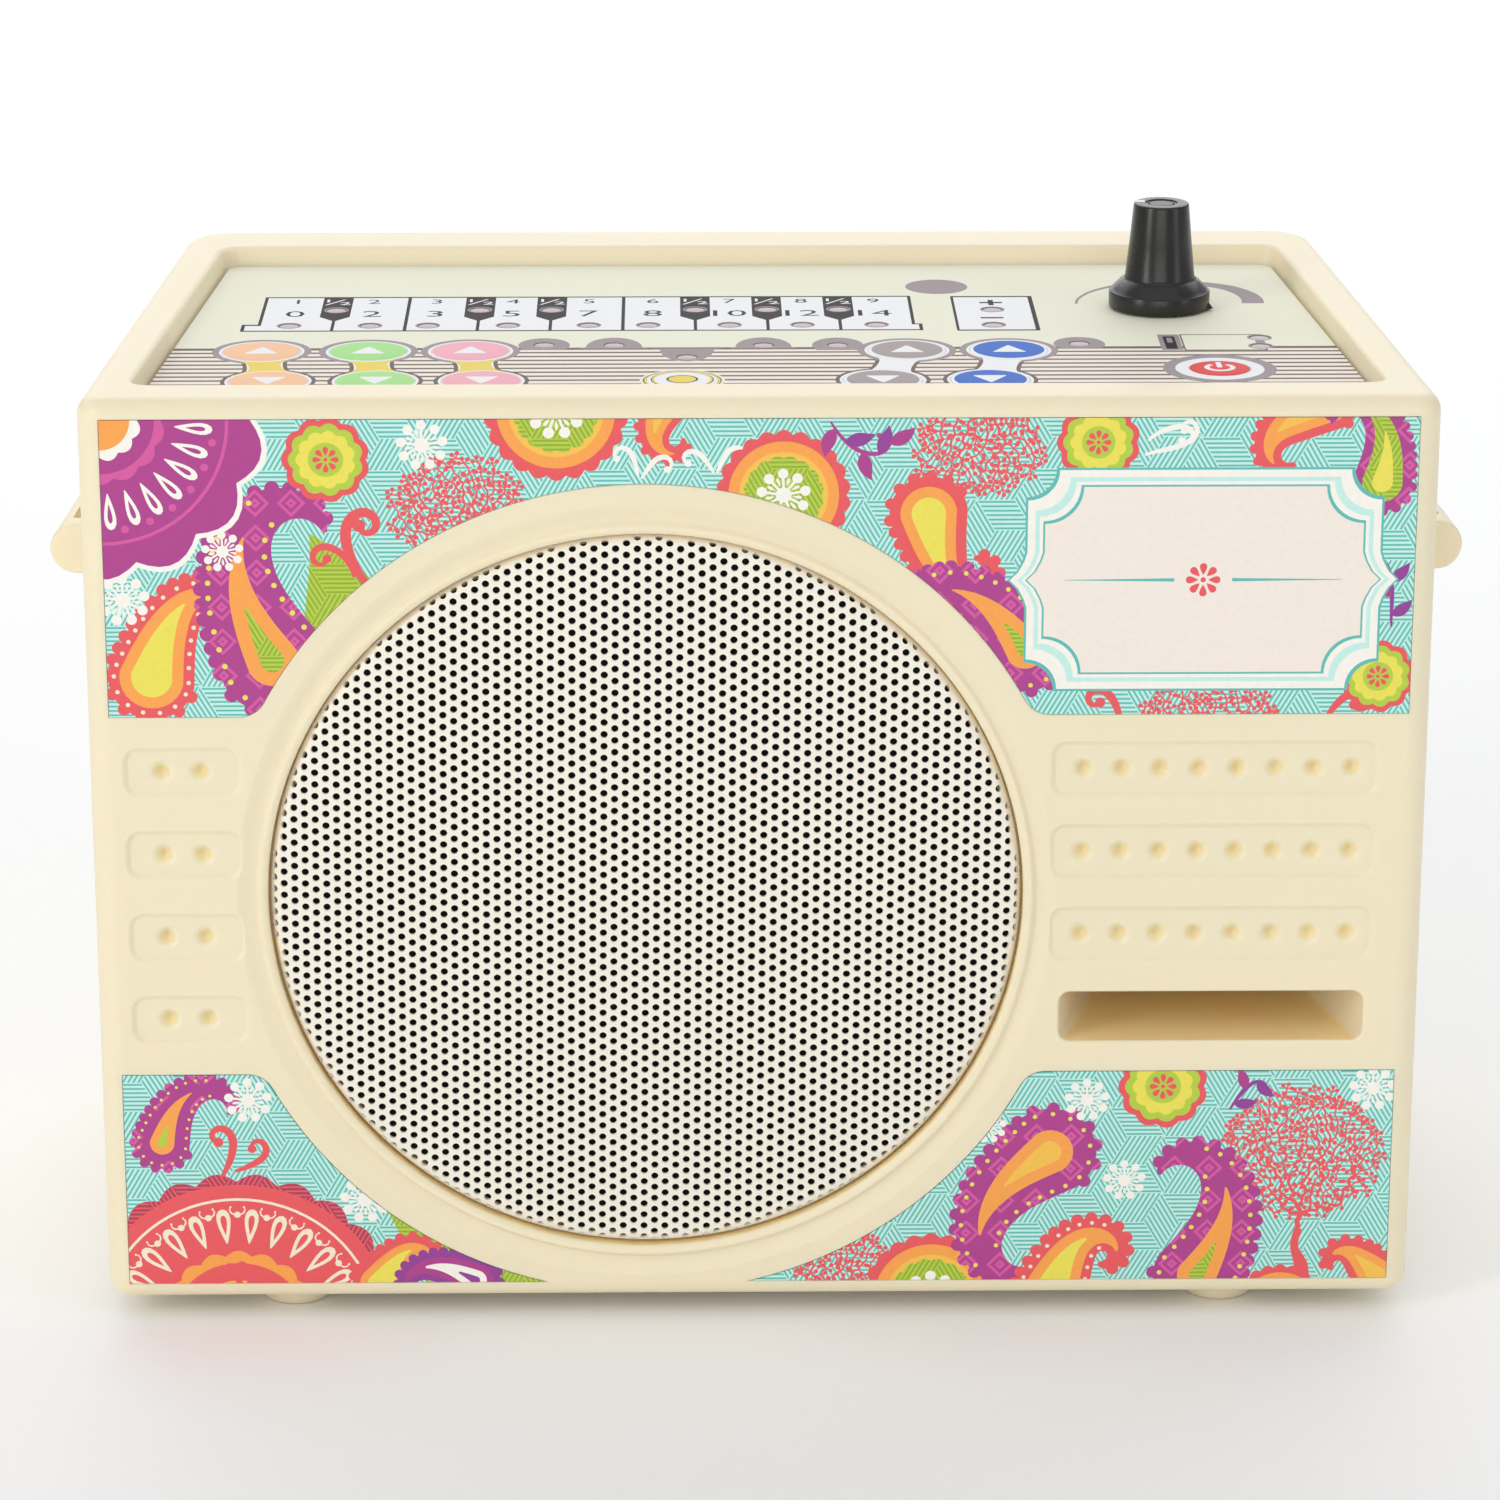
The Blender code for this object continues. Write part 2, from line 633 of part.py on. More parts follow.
def make_case():
    """The bucket-shaped moulding: front, sides, top rim, floor and a rear frame."""
    outline = case_outline(0.0, 0.0, DEPTH, FRONT_CORNER, REAR_CORNER)
    case = level(0.0, HEIGHT, "main_case", [outline], finish=finish_of("cream_plastic"))
    round_edges(case, EDGE_ROUND, 3)

    inner = case_outline(WALL, WALL, DEPTH - WALL, INNER_CORNER, REAR_CORNER - WALL)
    combine(case, level(WALL, CAVITY_TOP, "cavity", [inner], CUTTERS))
    ring = [(0.0, -1.5), (BOSS_RADIUS, -1.5), (BOSS_RADIUS, -BOSS_DEPTH), (0.0, -BOSS_DEPTH)]
    place = world(SPEAKER_X, 0.0, SPEAKER_Z)
    combine(case, turned("speaker_ring", ring, place, 40, CUTTERS, facing="front"), "UNION")
    combine(case, port_cutter("port_block", PORT_WALL), "UNION")

    opening = panel_outline(LEDGE_WIDTH)
    combine(case, level(CAVITY_TOP - 1.0, LEDGE_TOP + 1.0, "panel_opening", [opening], CUTTERS))
    combine(case, recess_tool())

    inside = GRILLE_RADIUS + 0.5
    seat = [(0.0, 1.0), (RING_RADIUS + 1.0, 1.0), (inside, -2.0), (inside, -SEAT_DEPTH),
            (MOUTH_RADIUS, -SEAT_DEPTH), (MOUTH_RADIUS, -BOSS_DEPTH - 1.0), (0.0, -BOSS_DEPTH - 1.0)]
    combine(case, turned("grille_seat", seat, place, 40, CUTTERS, facing="front"))
    combine(case, port_cutter("port_channel", 0.0))

    fields = [upper_field(0.0), lower_field(-1, 0.0), lower_field(1, 0.0)]
    combine(case, upright(-1.0, FIELD_DEPTH, "label_fields", fields, CUTTERS))
    combine(case, upright(-1.0, PILL_DEPTH, "pills", pill_outlines(), CUTTERS))
    combine(case, join("dimples", dimple_tools(), CUTTERS))

    near = DEPTH - COVER_THICK - GAP
    frame = [cover_outline(REAR_FRAME_LAP)]
    combine(case, upright(near - REAR_FRAME_THICK, DEPTH - WALL + 1.0, "rear_frame", frame, CUTTERS), "UNION")
    combine(case, upright(near, DEPTH + 1.0, "cover_rabbet", [cover_outline(GAP)], CUTTERS))
    combine(case, upright(DEPTH - 12.0, DEPTH + 1.0, "rear_opening", [cover_outline(-REAR_LEDGE)], CUTTERS))
    for x, depth in MAIN_BOARD_SCREWS:
        low, high = WALL - 0.6, MAIN_BOARD_Z - GAP
        post = [(POST_RADIUS, high), (POST_RADIUS, low), (POST_BORE, low), (POST_BORE, high)]
        combine(case, turned("post", post, world(x, depth, 0.0), 10, CUTTERS), "UNION")
    combine(case, join("case_screw_holes", case_hole_tools(), CUTTERS))
    settle(case)


def recess_tool():
    """The cutter of the panel's recess, whose walls lean outwards towards the rim."""
    recess = level(LEDGE_TOP, HEIGHT + 1.0, "panel_recess", [panel_outline(-GAP)], CUTTERS)
    top = world(0.0, 0.0, HEIGHT + 1.0).z
    middle = world(0.0, (PANEL_FRONT + PANEL_REAR) / 2, 0.0).y
    for vertex in recess.data.vertices:
        if abs(vertex.co.z - top) < 0.1 * MM:
            vertex.co.x += math.copysign(RECESS_SPREAD * MM, vertex.co.x)
            vertex.co.y += math.copysign(RECESS_SPREAD * MM, vertex.co.y - middle)
    return recess


def pill_outlines():
    """Rounded outlines of the shallow moulded panels, x and height."""
    outlines = []
    for row, height in enumerate(PILL_CENTRES):
        for left, right, tall in (LEFT_PILL, RIGHT_PILL):
            if left > 0.0 and row == 3:
                continue
            outlines.append(rectangle(right - left, tall, PILL_CORNER, ((left + right) / 2, height), 2))
    return outlines


def dimple_tools():
    """One ball for each round dimple in the moulded panels."""
    ball = (DIMPLE_RADIUS ** 2 + DIMPLE_DEPTH ** 2) / (2 * DIMPLE_DEPTH)
    right = [RIGHT_DIMPLE_START + DIMPLE_PITCH * index for index in range(RIGHT_DIMPLE_COUNT)]
    turn = Matrix.Rotation(math.radians(90), 3, "X")
    faces = DIMPLE_FACES
    tools = []
    for row, height in enumerate(PILL_CENTRES):
        places = list(LEFT_DIMPLES) + (right if row < 3 else [])
        for x in places:
            mesh = bpy.data.meshes.new("dimple")
            work = bmesh.new()
            bmesh.ops.create_uvsphere(work, u_segments=faces, v_segments=faces, radius=ball * MM)
            bmesh.ops.rotate(work, cent=(0, 0, 0), matrix=turn, verts=work.verts)
            work.to_mesh(mesh)
            work.free()
            tool = new_object("dimple", mesh, CUTTERS)
            tool.location = world(x, PILL_DEPTH + DIMPLE_DEPTH - ball, height)
            tools.append(tool)
    return tools


def speaker_screw_places():
    """x and height of the four screws that hold the speaker."""
    turns = [math.radians(angle) for angle in SPEAKER_SCREW_ANGLES]
    reach = SPEAKER_SCREW_RADIUS
    return [(SPEAKER_X + reach * math.cos(turn), SPEAKER_Z + reach * math.sin(turn)) for turn in turns]


def hole_tool(radius, near, far, place):
    """A cutter for a screw hole that runs from the front to the rear around a place."""
    profile = [(0.0, near), (radius, near), (radius, -far), (0.0, -far)]
    return turned("hole", profile, place, 8, CUTTERS, facing="front")


def case_hole_tools():
    """Cutters for the screw holes in the rear frame and in the speaker ring."""
    rear = DEPTH - COVER_THICK - 2.0
    tools = [hole_tool(SCREW_HOLE, 3.0, 3.0, world(x, rear, height)) for x, height in COVER_SCREWS]
    for x, height in speaker_screw_places():
        tools.append(hole_tool(SCREW_HOLE, 1.8, 3.0, world(x, BOSS_DEPTH - 1.5, height)))
    return tools


def lamp_places():
    """x and distance behind the front face of every lamp in the panel."""
    pitch = (KEYBOARD_RIGHT - KEYBOARD_LEFT) / WHITE_KEYS
    places = []
    for index in range(WHITE_KEYS):
        places.append((KEYBOARD_LEFT + pitch * (index + 0.5) + WHITE_LAMP_SHIFT[index], WHITE_LAMP_Y))
    for index in HALF_KEY_AFTER:
        places.append((KEYBOARD_LEFT + pitch * (index + 1), HALF_LAMP_Y))
    return places + list(OCTAVE_LAMPS) + list(STATUS_LAMPS) + list(BATTERY_LAMPS)


def circle(x, depth, radius, steps):
    """A round outline."""
    return arc((x, depth), radius, 0.0, 360.0, steps)[:-1]


def make_panel():
    """The control panel plate with holes for keys, lamps and the tone control, and board bosses below."""
    outlines = [panel_outline(0.0)]
    for _, x, depth, radius in KEYS:
        outlines.append(circle(x, depth, radius + GAP, KEY_SIDES))
    for x, depth in lamp_places():
        outlines.append(circle(x, depth, LAMP_RADIUS + 2 * GAP, 6))
    outlines.append(circle(KNOB_X, KNOB_Y, BUSHING_RADIUS + GAP, 12))
    under = PANEL_TOP - PANEL_THICK
    panel = level(under, PANEL_TOP, "control_panel", outlines, finish=finish_of("panel_film"))
    low = BOARD_TOP - BOARD_THICK - GAP
    boss = PANEL_BOSS_RADIUS
    high = BOARD_TOP + GAP
    stake = [(0.0, under + 0.5), (boss, under + 0.5), (boss, high), (STAKE_RADIUS, high), (STAKE_RADIUS, low),
             (2.6, low), (1.8, low - 1.0), (0.0, low - 1.0)]
    for x, depth in PANEL_BOSSES:
        combine(panel, turned("stake", stake, world(x, depth, 0.0), 8, CUTTERS), "UNION")


def make_keys():
    """Round keys, each with a base wider than its hole, which keeps it under the panel."""
    flange_top = -PANEL_THICK - GAP
    for name, x, depth, radius in KEYS:
        colour = KEY_COLOURS["_".join(name.split("_")[:2])]
        wide = radius + KEY_FLANGE
        profile = [(0.0, KEY_PROUD), (radius - 0.6, KEY_PROUD), (radius, KEY_PROUD - 0.35),
                   (radius, flange_top), (wide, flange_top), (wide, flange_top - KEY_BASE),
                   (0.0, flange_top - KEY_BASE)]
        turned(name, profile, world(x, depth, PANEL_TOP), KEY_SIDES, finish=material(name, colour, 0.45))


def make_lamp_guide():
    """Round lamp lenses that reach up through the panel from one thin sheet over the board."""
    low, high = LAMP_SHEET
    outlines = [rounded(LAMP_SHEET_OUTLINE, [SHEET_CORNER] * 4, 2), circle(KNOB_X, KNOB_Y, KNOB_ROOM, 12)]
    for window in LAMP_SHEET_WINDOWS:
        outlines.append(rounded(window, [SHEET_CORNER] * len(window), 1))
    for name, x, depth, _ in KEYS:
        if name in LONE_KEYS:
            outlines.append(circle(x, depth, DOME_RADIUS + 1.0, 8))
    for x, depth in PANEL_BOSSES:
        outlines.append(circle(x, depth, PANEL_BOSS_RADIUS + 0.4, 8))
    guide = level(low, high, "lamp_guide", outlines, finish=finish_of("lamp_lens"))
    top = PANEL_TOP - LAMP_DROP
    lens = [(0.0, top), (LAMP_RADIUS, top), (LAMP_RADIUS, low + 0.3), (0.0, low + 0.3)]
    lenses = [turned("lens", lens, world(x, depth, 0.0), 6) for x, depth in lamp_places()]
    combine(guide, join("lenses", lenses, CUTTERS), "UNION")
    smooth(guide)


def make_keypad_board():
    """The board under the panel with its snap domes."""
    outlines = [rounded(BOARD_OUTLINE, [SHEET_CORNER] * 4, 2), circle(KNOB_X, KNOB_Y, KNOB_ROOM, 12)]
    for x, depth in PANEL_BOSSES:
        outlines.append(circle(x, depth, STAKE_RADIUS + GAP, 8))
    low = BOARD_TOP - BOARD_THICK
    board = level(low, BOARD_TOP, "keypad_board", outlines, finish=finish_of("green_board"))
    crown = BOARD_TOP + DOME_HEIGHT
    dome = [(0.0, crown), (DOME_RADIUS * 0.6, crown - DOME_HEIGHT * 0.3), (DOME_RADIUS, BOARD_TOP - 0.2),
            (0.0, BOARD_TOP - 0.5)]
    domes = [turned("dome", dome, world(x, depth, 0.0), 8) for _, x, depth, _ in KEYS]
    combine(board, join("domes", domes, CUTTERS), "UNION")


def make_grille():
    """The perforated sheet metal pan: a rolled rim, hexagon rows of holes and a slight crown."""
    edge = GRILLE_RADIUS
    inner = edge - GRILLE_SHEET
    deep = SEAT_DEPTH - GAP
    front = GRILLE_DOME
    profile = [(0.0, -front), (edge - 1.4, -front), (edge - 0.4, -front - 0.4), (edge, -front - 1.4),
               (edge, -deep), (inner, -deep), (inner, -front - 1.6), (edge - 1.6, -front - GRILLE_SHEET),
               (0.0, -front - GRILLE_SHEET)]
    centre = world(SPEAKER_X, 0.0, SPEAKER_Z)
    finish = finish_of("painted_steel")
    grille = turned("speaker_grille", profile, centre, 36, finish=finish, facing="front")
    row_step = GRILLE_PITCH * math.sqrt(3.0) / 2
    rows = int(edge / row_step)
    outlines = []
    for row in range(-rows, rows + 1):
        for column in range(-rows - 1, rows + 2):
            across = row * row_step
            up = (column + 0.5 * (row % 2)) * GRILLE_PITCH
            if math.hypot(across, up) < edge - GRILLE_BORDER:
                outlines.append(circle(SPEAKER_X + across, SPEAKER_Z + up, GRILLE_HOLE, 6))
    settle(grille)
    combine(grille, upright(-1.0, 2.4, "grille_holes", outlines, CUTTERS))
    settle(grille)
    work = bmesh.new()
    work.from_mesh(grille.data)
    bmesh.ops.triangulate(work, faces=work.faces)
    for vertex in work.verts:
        off = math.hypot(vertex.co.x - centre.x, vertex.co.z - centre.z) / (edge * MM)
        vertex.co.y -= GRILLE_DOME * MM * max(0.0, 1.0 - off * off)
    work.to_mesh(grille.data)
    work.free()
    cloth = circle(SPEAKER_X, SPEAKER_Z, inner - GAP, 32)
    upright(deep - CLOTH_THICK, deep, "grille_cloth", [cloth], finish=finish_of("black_cloth"))


def behind(profile, start):
    """Turns distances behind a start into the heights that a turned part facing the front takes."""
    return [(radius, -start - back) for radius, back in profile]


def make_speaker():
    """The driver: pressed steel basket with windows, paper cone with a rolled surround, magnet and screws."""
    place = world(SPEAKER_X, 0.0, SPEAKER_Z)
    face = BOSS_DEPTH + GAP
    finish = finish_of("speaker_frame")
    frame = turned("speaker_basket", behind(BASKET, face), place, 24, finish=finish, facing="front")
    low, high = [(SPEAKER_X + x, face + back, SPEAKER_Z + up) for x, back, up in BASKET_WINDOW]
    there, home = Matrix.Translation(place), Matrix.Translation(-place)
    windows = []
    for turn in (0.0, 90.0, 180.0, 270.0):
        spin = there @ Matrix.Rotation(math.radians(turn), 4, "Y") @ home
        windows.append(box("window", low, high, CUTTERS, matrix=spin))
    combine(frame, join("basket_windows", windows, CUTTERS))
    head = [(0.0, 4.6), (1.2, 4.6), (1.2, 0.0), (2.7, 0.0), (2.7, -0.96), (1.62, -1.6), (0.0, -1.6)]
    holes = []
    for number, (x, height) in enumerate(speaker_screw_places(), 1):
        holes.append(hole_tool(SCREW_HOLE + 0.1, 2.0, 2.0, world(x, face + BASKET_FLANGE / 2, height)))
        under_head = world(x, face + BASKET_FLANGE + GAP, height)
        turned(f"speaker_screw_{number}", head, under_head, 8, finish=finish_of("zinc_steel"), facing="front")
    combine(frame, join("basket_holes", holes, CUTTERS))
    turned("speaker_cone", behind(CONE, face), place, 24, finish=finish_of("paper_cone"), facing="front")
    back = face + BASKET_DEPTH + GAP
    turned("speaker_magnet", behind(MAGNET, back), place, 24, finish=finish_of("ferrite"), facing="front")


def make_knob():
    """The tone control: tall tapered knob, its inset cap, and the rotary control below."""
    place = world(KNOB_X, KNOB_Y, PANEL_TOP)
    top = KNOB_HEIGHT + GAP
    bore = SHAFT_RADIUS + GAP
    floor = top - CAP_DEPTH
    shell = [(0.0, floor), (2.6, floor), (2.9, top), (4.8, top), (5.1, top - 0.3), (6.5, 5.7), (7.1, 5.3),
             (8.9, 3.3), (KNOB_SKIRT, 2.7), (KNOB_SKIRT, 0.4), (KNOB_SKIRT - 0.1, GAP), (8.0, GAP),
             (8.0, SOCKET_FLOOR), (bore, SOCKET_FLOOR), (bore, top - 3.2), (0.0, top - 3.2)]
    turned("tone_knob", shell, place, 24, finish=finish_of("black_plastic"))
    cap = [(0.0, top - 0.1), (1.9, top - 0.15), (2.3, top - 0.4), (2.3, floor + GAP), (0.0, floor + GAP)]
    turned("tone_knob_cap", cap, place, 16, finish=finish_of("knob_cap"))
    under = -PANEL_THICK - GAP
    tail = under - 3.0
    shaft = [(0.0, top - 3.2 - GAP), (SHAFT_RADIUS - 0.4, top - 3.2 - GAP), (SHAFT_RADIUS, top - 3.8),
             (SHAFT_RADIUS, 3.4), (SHAFT_TAIL, 3.4), (SHAFT_TAIL, tail), (0.0, tail)]
    turned("tone_pot_shaft", shaft, place, 12, finish=finish_of("zinc_steel"))
    inner = SHAFT_TAIL + GAP
    body = [(0.0, tail - GAP), (inner, tail - GAP), (inner, BUSHING_TOP), (BUSHING_RADIUS, BUSHING_TOP),
            (BUSHING_RADIUS, under), (POT_RADIUS, under), (POT_RADIUS, under - POT_DEPTH),
            (0.0, under - POT_DEPTH)]
    turned("tone_pot_body", body, place, 16, finish=finish_of("pot_metal"))
    hole = (BUSHING_RADIUS + GAP) / math.cos(math.radians(30))
    nut = [(hole, NUT_TOP), (NUT_RADIUS, NUT_TOP), (NUT_RADIUS, GAP), (hole, GAP)]
    turned("tone_pot_nut", nut, place, 6, finish=finish_of("zinc_steel"))


def make_back():
    """The rear cover with air slots, its screws, and the two sockets."""
    outlines = [cover_outline(0.0)]
    for height in AIR_SLOT_ROWS:
        for x in AIR_SLOT_X:
            outlines.append(rectangle(*AIR_SLOT, 1.2, (x, height), 1))
    for x, height in COVER_SCREWS:
        outlines.append(circle(x, height, HEAD_RADIUS + GAP, 8))
    for _, (x, height), radius, _ in SOCKETS:
        outlines.append(circle(x, height, radius + SOCKET_ROOM, 12))
    upright(DEPTH - COVER_THICK, DEPTH, "back_cover", outlines, finish=finish_of("cream_plastic"))
    head = [(0.0, 4.8), (1.2, 4.8), (1.2, 1.4), (HEAD_RADIUS, 0.3), (HEAD_RADIUS, 0.0), (0.0, 0.0)]
    for number, (x, height) in enumerate(COVER_SCREWS, 1):
        place = world(x, DEPTH - 0.1, height)
        turned(f"back_cover_screw_{number}", head, place, 8, finish=finish_of("zinc_steel"), facing="front")
    for name, (x, height), radius, bore in SOCKETS:
        profile = [(0.0, SOCKET_LENGTH), (radius, SOCKET_LENGTH), (radius, 0.0), (bore, 0.0),
                   (bore, SOCKET_BORE_DEPTH), (0.0, SOCKET_BORE_DEPTH)]
        place = world(x, DEPTH - 0.4, height)
        turned(name, profile, place, 12, finish=finish_of("black_plastic"), facing="front")


def make_main_board():
    """The main board with its larger parts, its two screws and its heat sink."""
    left, right, near, far = MAIN_BOARD
    low, high = MAIN_BOARD_Z, MAIN_BOARD_Z + BOARD_THICK
    outline = rectangle(right - left, far - near, 1.5, ((left + right) / 2, (near + far) / 2), 1)
    outlines = [outline] + [circle(x, depth, 1.8, 8) for x, depth in MAIN_BOARD_SCREWS]
    board = level(low, high, "main_board", outlines, finish=finish_of("green_board"))
    bottom = WALL + 1.5
    head = [(0.0, high + 1.8), (1.6, high + 1.8), (2.6, high + 1.2), (2.6, high + GAP), (1.2, high + GAP),
            (1.2, bottom), (0.0, bottom)]
    for number, (x, depth) in enumerate(MAIN_BOARD_SCREWS, 1):
        turned(f"main_board_screw_{number}", head, world(x, depth, 0.0), 8, finish=finish_of("zinc_steel"))
    base = high - 0.5
    for low_corner, high_corner in CHIPS:
        chip = box("chip", (*low_corner, base), (*high_corner, high + CHIP_HEIGHT), CUTTERS)
        combine(board, chip, "UNION")
    for x, depth, radius, tall in CAPACITORS:
        can = [(0.0, high + tall), (radius, high + tall - 0.6), (radius, base), (0.0, base)]
        combine(board, turned("can", can, world(x, depth, 0.0), 12, CUTTERS), "UNION")
    foot = high + GAP
    first, last = HEAT_SINK
    sink = box("heat_sink", (*first, foot), (*last, foot + HEAT_SINK_HEIGHT), finish=finish_of("aluminium"))
    thick, fin_near, fin_far = FIN
    for index in range(FIN_COUNT):
        x = first[0] + 0.6 + FIN_PITCH * index
        fin = box("fin", (x, fin_near, foot), (x + thick, fin_far, foot + HEAT_SINK_HEIGHT - 1.0), CUTTERS)
        combine(sink, fin, "UNION")


def make_battery_pack():
    """Two cells side by side in one wrap, on the floor of the case."""
    end, edge = CELL_HALF, CELL_HALF - CELL_EDGE
    cell = [(0.0, end), (CELL_RADIUS - CELL_EDGE, end), (CELL_RADIUS, edge), (CELL_RADIUS, -edge),
            (CELL_RADIUS - CELL_EDGE, -end), (0.0, -end)]
    cells = []
    for shift in (-9.0, 9.0):
        place = world(PACK_X, PACK_DEPTH + shift, WALL + GAP + CELL_RADIUS)
        cells.append(turned("cell", cell, place, 16))
        cells[-1].rotation_euler = (0.0, math.radians(90), 0.0)
    pack = join("battery_pack", cells[:1], finish=finish_of("cell_wrap"))
    combine(pack, cells[1], "UNION")


def wire(name, points, radius, finish):
    """An insulated lead along a smooth route through a few points."""
    curve = bpy.data.curves.new(name, "CURVE")
    curve.dimensions = "3D"
    curve.bevel_depth = radius * MM
    curve.bevel_resolution = 1
    curve.use_fill_caps = True
    places = [world(*point) for point in points]
    samples = []
    for index in range(len(places) - 1):
        before = places[max(index - 1, 0)]
        first = places[index]
        last = places[index + 1]
        after = places[min(index + 2, len(places) - 1)]
        slope = last - before
        bend = 2 * before - 5 * first + 4 * last - after
        twist = 3 * first - before - 3 * last + after
        for step in range(4):
            t = step / 4
            samples.append(first + 0.5 * (slope * t + bend * t * t + twist * t * t * t))
    samples.append(places[-1])
    spline = curve.splines.new("POLY")
    spline.points.add(len(samples) - 1)
    for point, sample in zip(spline.points, samples):
        point.co = (*sample, 1.0)
    drawn = bpy.data.objects.new(name, curve)
    bpy.context.scene.collection.objects.link(drawn)
    mesh = evaluated_mesh(drawn)
    bpy.data.objects.remove(drawn, do_unlink=True)
    clean_mesh(mesh)
    smooth(new_object(name, mesh, finish=finish), 60.0)


def make_leads():
    """Leads from the main board to the keypad board, the speaker and the battery pack."""
    for name, radius, route in LEADS:
        wire(name, route, radius, finish_of("lead_cover"))


def make_lug(name, side):
    """A strap lug: a bar with a half-round outer edge that stands off the side on two ends."""
    angle = math.atan2((WIDTH_FRONT - WIDTH_REAR) / 2, DEPTH)
    half = LUG_THICK / 2
    outline = [(GAP, -half), (LUG_OUT - half, -half)]
    outline += arc((LUG_OUT - half, 0.0), half, -90.0, 90.0, 8)[1:-1]
    outline += [(LUG_OUT - half, half), (GAP, half)]
    matrix = Matrix.Rotation(math.radians(90), 4, "X")
    lug = plate(name, [outline], LUG_LENGTH, matrix, finish=finish_of("cream_plastic"))
    slot_long, slot_wide = LUG_SLOT
    slot = rectangle(slot_wide, slot_long, LUG_SLOT_CORNER, (LUG_BASE + slot_wide / 2, 0.0), 2)
    tool = plate(name + "_slot", [slot], LUG_THICK * 2, Matrix.Identity(4), CUTTERS)
    middle = LUG_START + LUG_LENGTH / 2
    place = Matrix.Translation(world(side_x(middle), middle, LUG_Z)) @ Matrix.Rotation(angle, 4, "Z")
    for obj in (lug, tool):
        obj.data.transform(place)
        if side < 0:
            obj.data.transform(Matrix.Scale(-1.0, 4, (1.0, 0.0, 0.0)))
            obj.data.flip_normals()
    combine(lug, tool)
    smooth(lug)


def make_feet():
    """Four rubber feet under the case."""
    pad = [(0.0, -GAP), (FOOT_RADIUS, -GAP), (FOOT_RADIUS, -2.6), (FOOT_RADIUS - 0.9, -FOOT_HEIGHT),
           (0.0, -FOOT_HEIGHT)]
    for name, x, depth in FEET:
        turned(name, pad, world(x, depth, 0.0), 16, finish=finish_of("foot_rubber"))


def make_labels():
    """Three thin printed labels in the shallow fields of the front."""
    far = FIELD_DEPTH - GAP
    near = far - LABEL_THICK
    finish = finish_of("printed_label")
    upright(near, far, "label_upper", [upper_field(GAP)], finish=finish)
    upright(near, far, "label_lower_left", [lower_field(-1, GAP)], finish=finish)
    upright(near, far, "label_lower_right", [lower_field(1, GAP)], finish=finish)


def main():
    """Builds every part."""
    clear_scene()
    make_case()
    make_panel()
    make_keys()
    make_lamp_guide()
    make_keypad_board()
    make_grille()
    make_speaker()
    make_knob()
    make_back()
    make_main_board()
    make_battery_pack()
    make_leads()
    make_lug("strap_lug_left", -1)
    make_lug("strap_lug_right", 1)
    make_feet()
    make_labels()


if __name__ == "__main__":
    main()
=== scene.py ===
"""Finish of an electronic tanpura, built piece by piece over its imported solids.

Outlines are in millimetres: x from the middle, depth behind the front face, height above the case's
underside. place() turns them into the frame's metres.
"""

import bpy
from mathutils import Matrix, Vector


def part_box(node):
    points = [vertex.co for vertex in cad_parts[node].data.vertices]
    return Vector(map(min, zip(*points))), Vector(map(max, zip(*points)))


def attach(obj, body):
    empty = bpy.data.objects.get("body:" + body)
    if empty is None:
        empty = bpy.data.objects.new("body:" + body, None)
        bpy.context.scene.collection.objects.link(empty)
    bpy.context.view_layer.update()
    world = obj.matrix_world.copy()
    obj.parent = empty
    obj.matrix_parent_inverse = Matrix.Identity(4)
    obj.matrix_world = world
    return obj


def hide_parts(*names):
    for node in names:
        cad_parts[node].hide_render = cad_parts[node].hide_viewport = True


bl_info = {
    "name": "Electronic tanpura",
    "version": (1, 0, 0),
    "blender": (4, 5, 0),
    "location": "View3D > Sidebar > Tanpura",
    "description": "Builds the finish of an electronic tanpura over its packed solids",
    "category": "Add Mesh",
}

import math

import bmesh
import bpy
from mathutils import Matrix, Vector
from mathutils.geometry import delaunay_2d_cdt

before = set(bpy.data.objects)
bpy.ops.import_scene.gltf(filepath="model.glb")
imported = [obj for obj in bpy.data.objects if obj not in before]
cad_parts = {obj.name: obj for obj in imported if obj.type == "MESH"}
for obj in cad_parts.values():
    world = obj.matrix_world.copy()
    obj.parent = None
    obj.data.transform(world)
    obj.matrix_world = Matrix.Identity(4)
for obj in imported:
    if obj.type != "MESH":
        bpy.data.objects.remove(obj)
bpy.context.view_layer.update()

MM = 0.001
CASE_LOW, CASE_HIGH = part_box("main_case")
PANEL_LOW, PANEL_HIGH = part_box("control_panel")

# Case
WIDTH_FRONT = 235.0
WIDTH_REAR = 216.0
DEPTH = 132.0
HEIGHT = 167.0
WALL = 2.6
GAP = 0.3
FRONT_CORNER = 4.5
REAR_CORNER = 9.0
EDGE_ROUND = 3.2
RECESS_SPREAD = 1.2

# Control panel and what lies under it
PANEL_TOP = (PANEL_HIGH.z - CASE_LOW.z) / MM
PANEL_THICK = 2.0
PANEL_FRONT = 13.0
PANEL_REAR = 115.6
PANEL_HALF_FRONT = 107.6
PANEL_HALF_REAR = 99.2
PANEL_CORNER = 3.0
LEDGE_TOP = PANEL_TOP - PANEL_THICK - GAP
LEDGE_WIDTH = 4.5
CAVITY_TOP = LEDGE_TOP - 2.4
BOARD_TOP = 158.0

# Speaker opening
SPEAKER_X = -20.0
SPEAKER_Z = 76.5
GRILLE_RADIUS = 66.1
RING_RADIUS = 68.6
SEAT_DEPTH = 3.6
BOSS_DEPTH = 9.0
BOSS_RADIUS = 70.0
MOUTH_RADIUS = 54.0
CROWN = 0.8

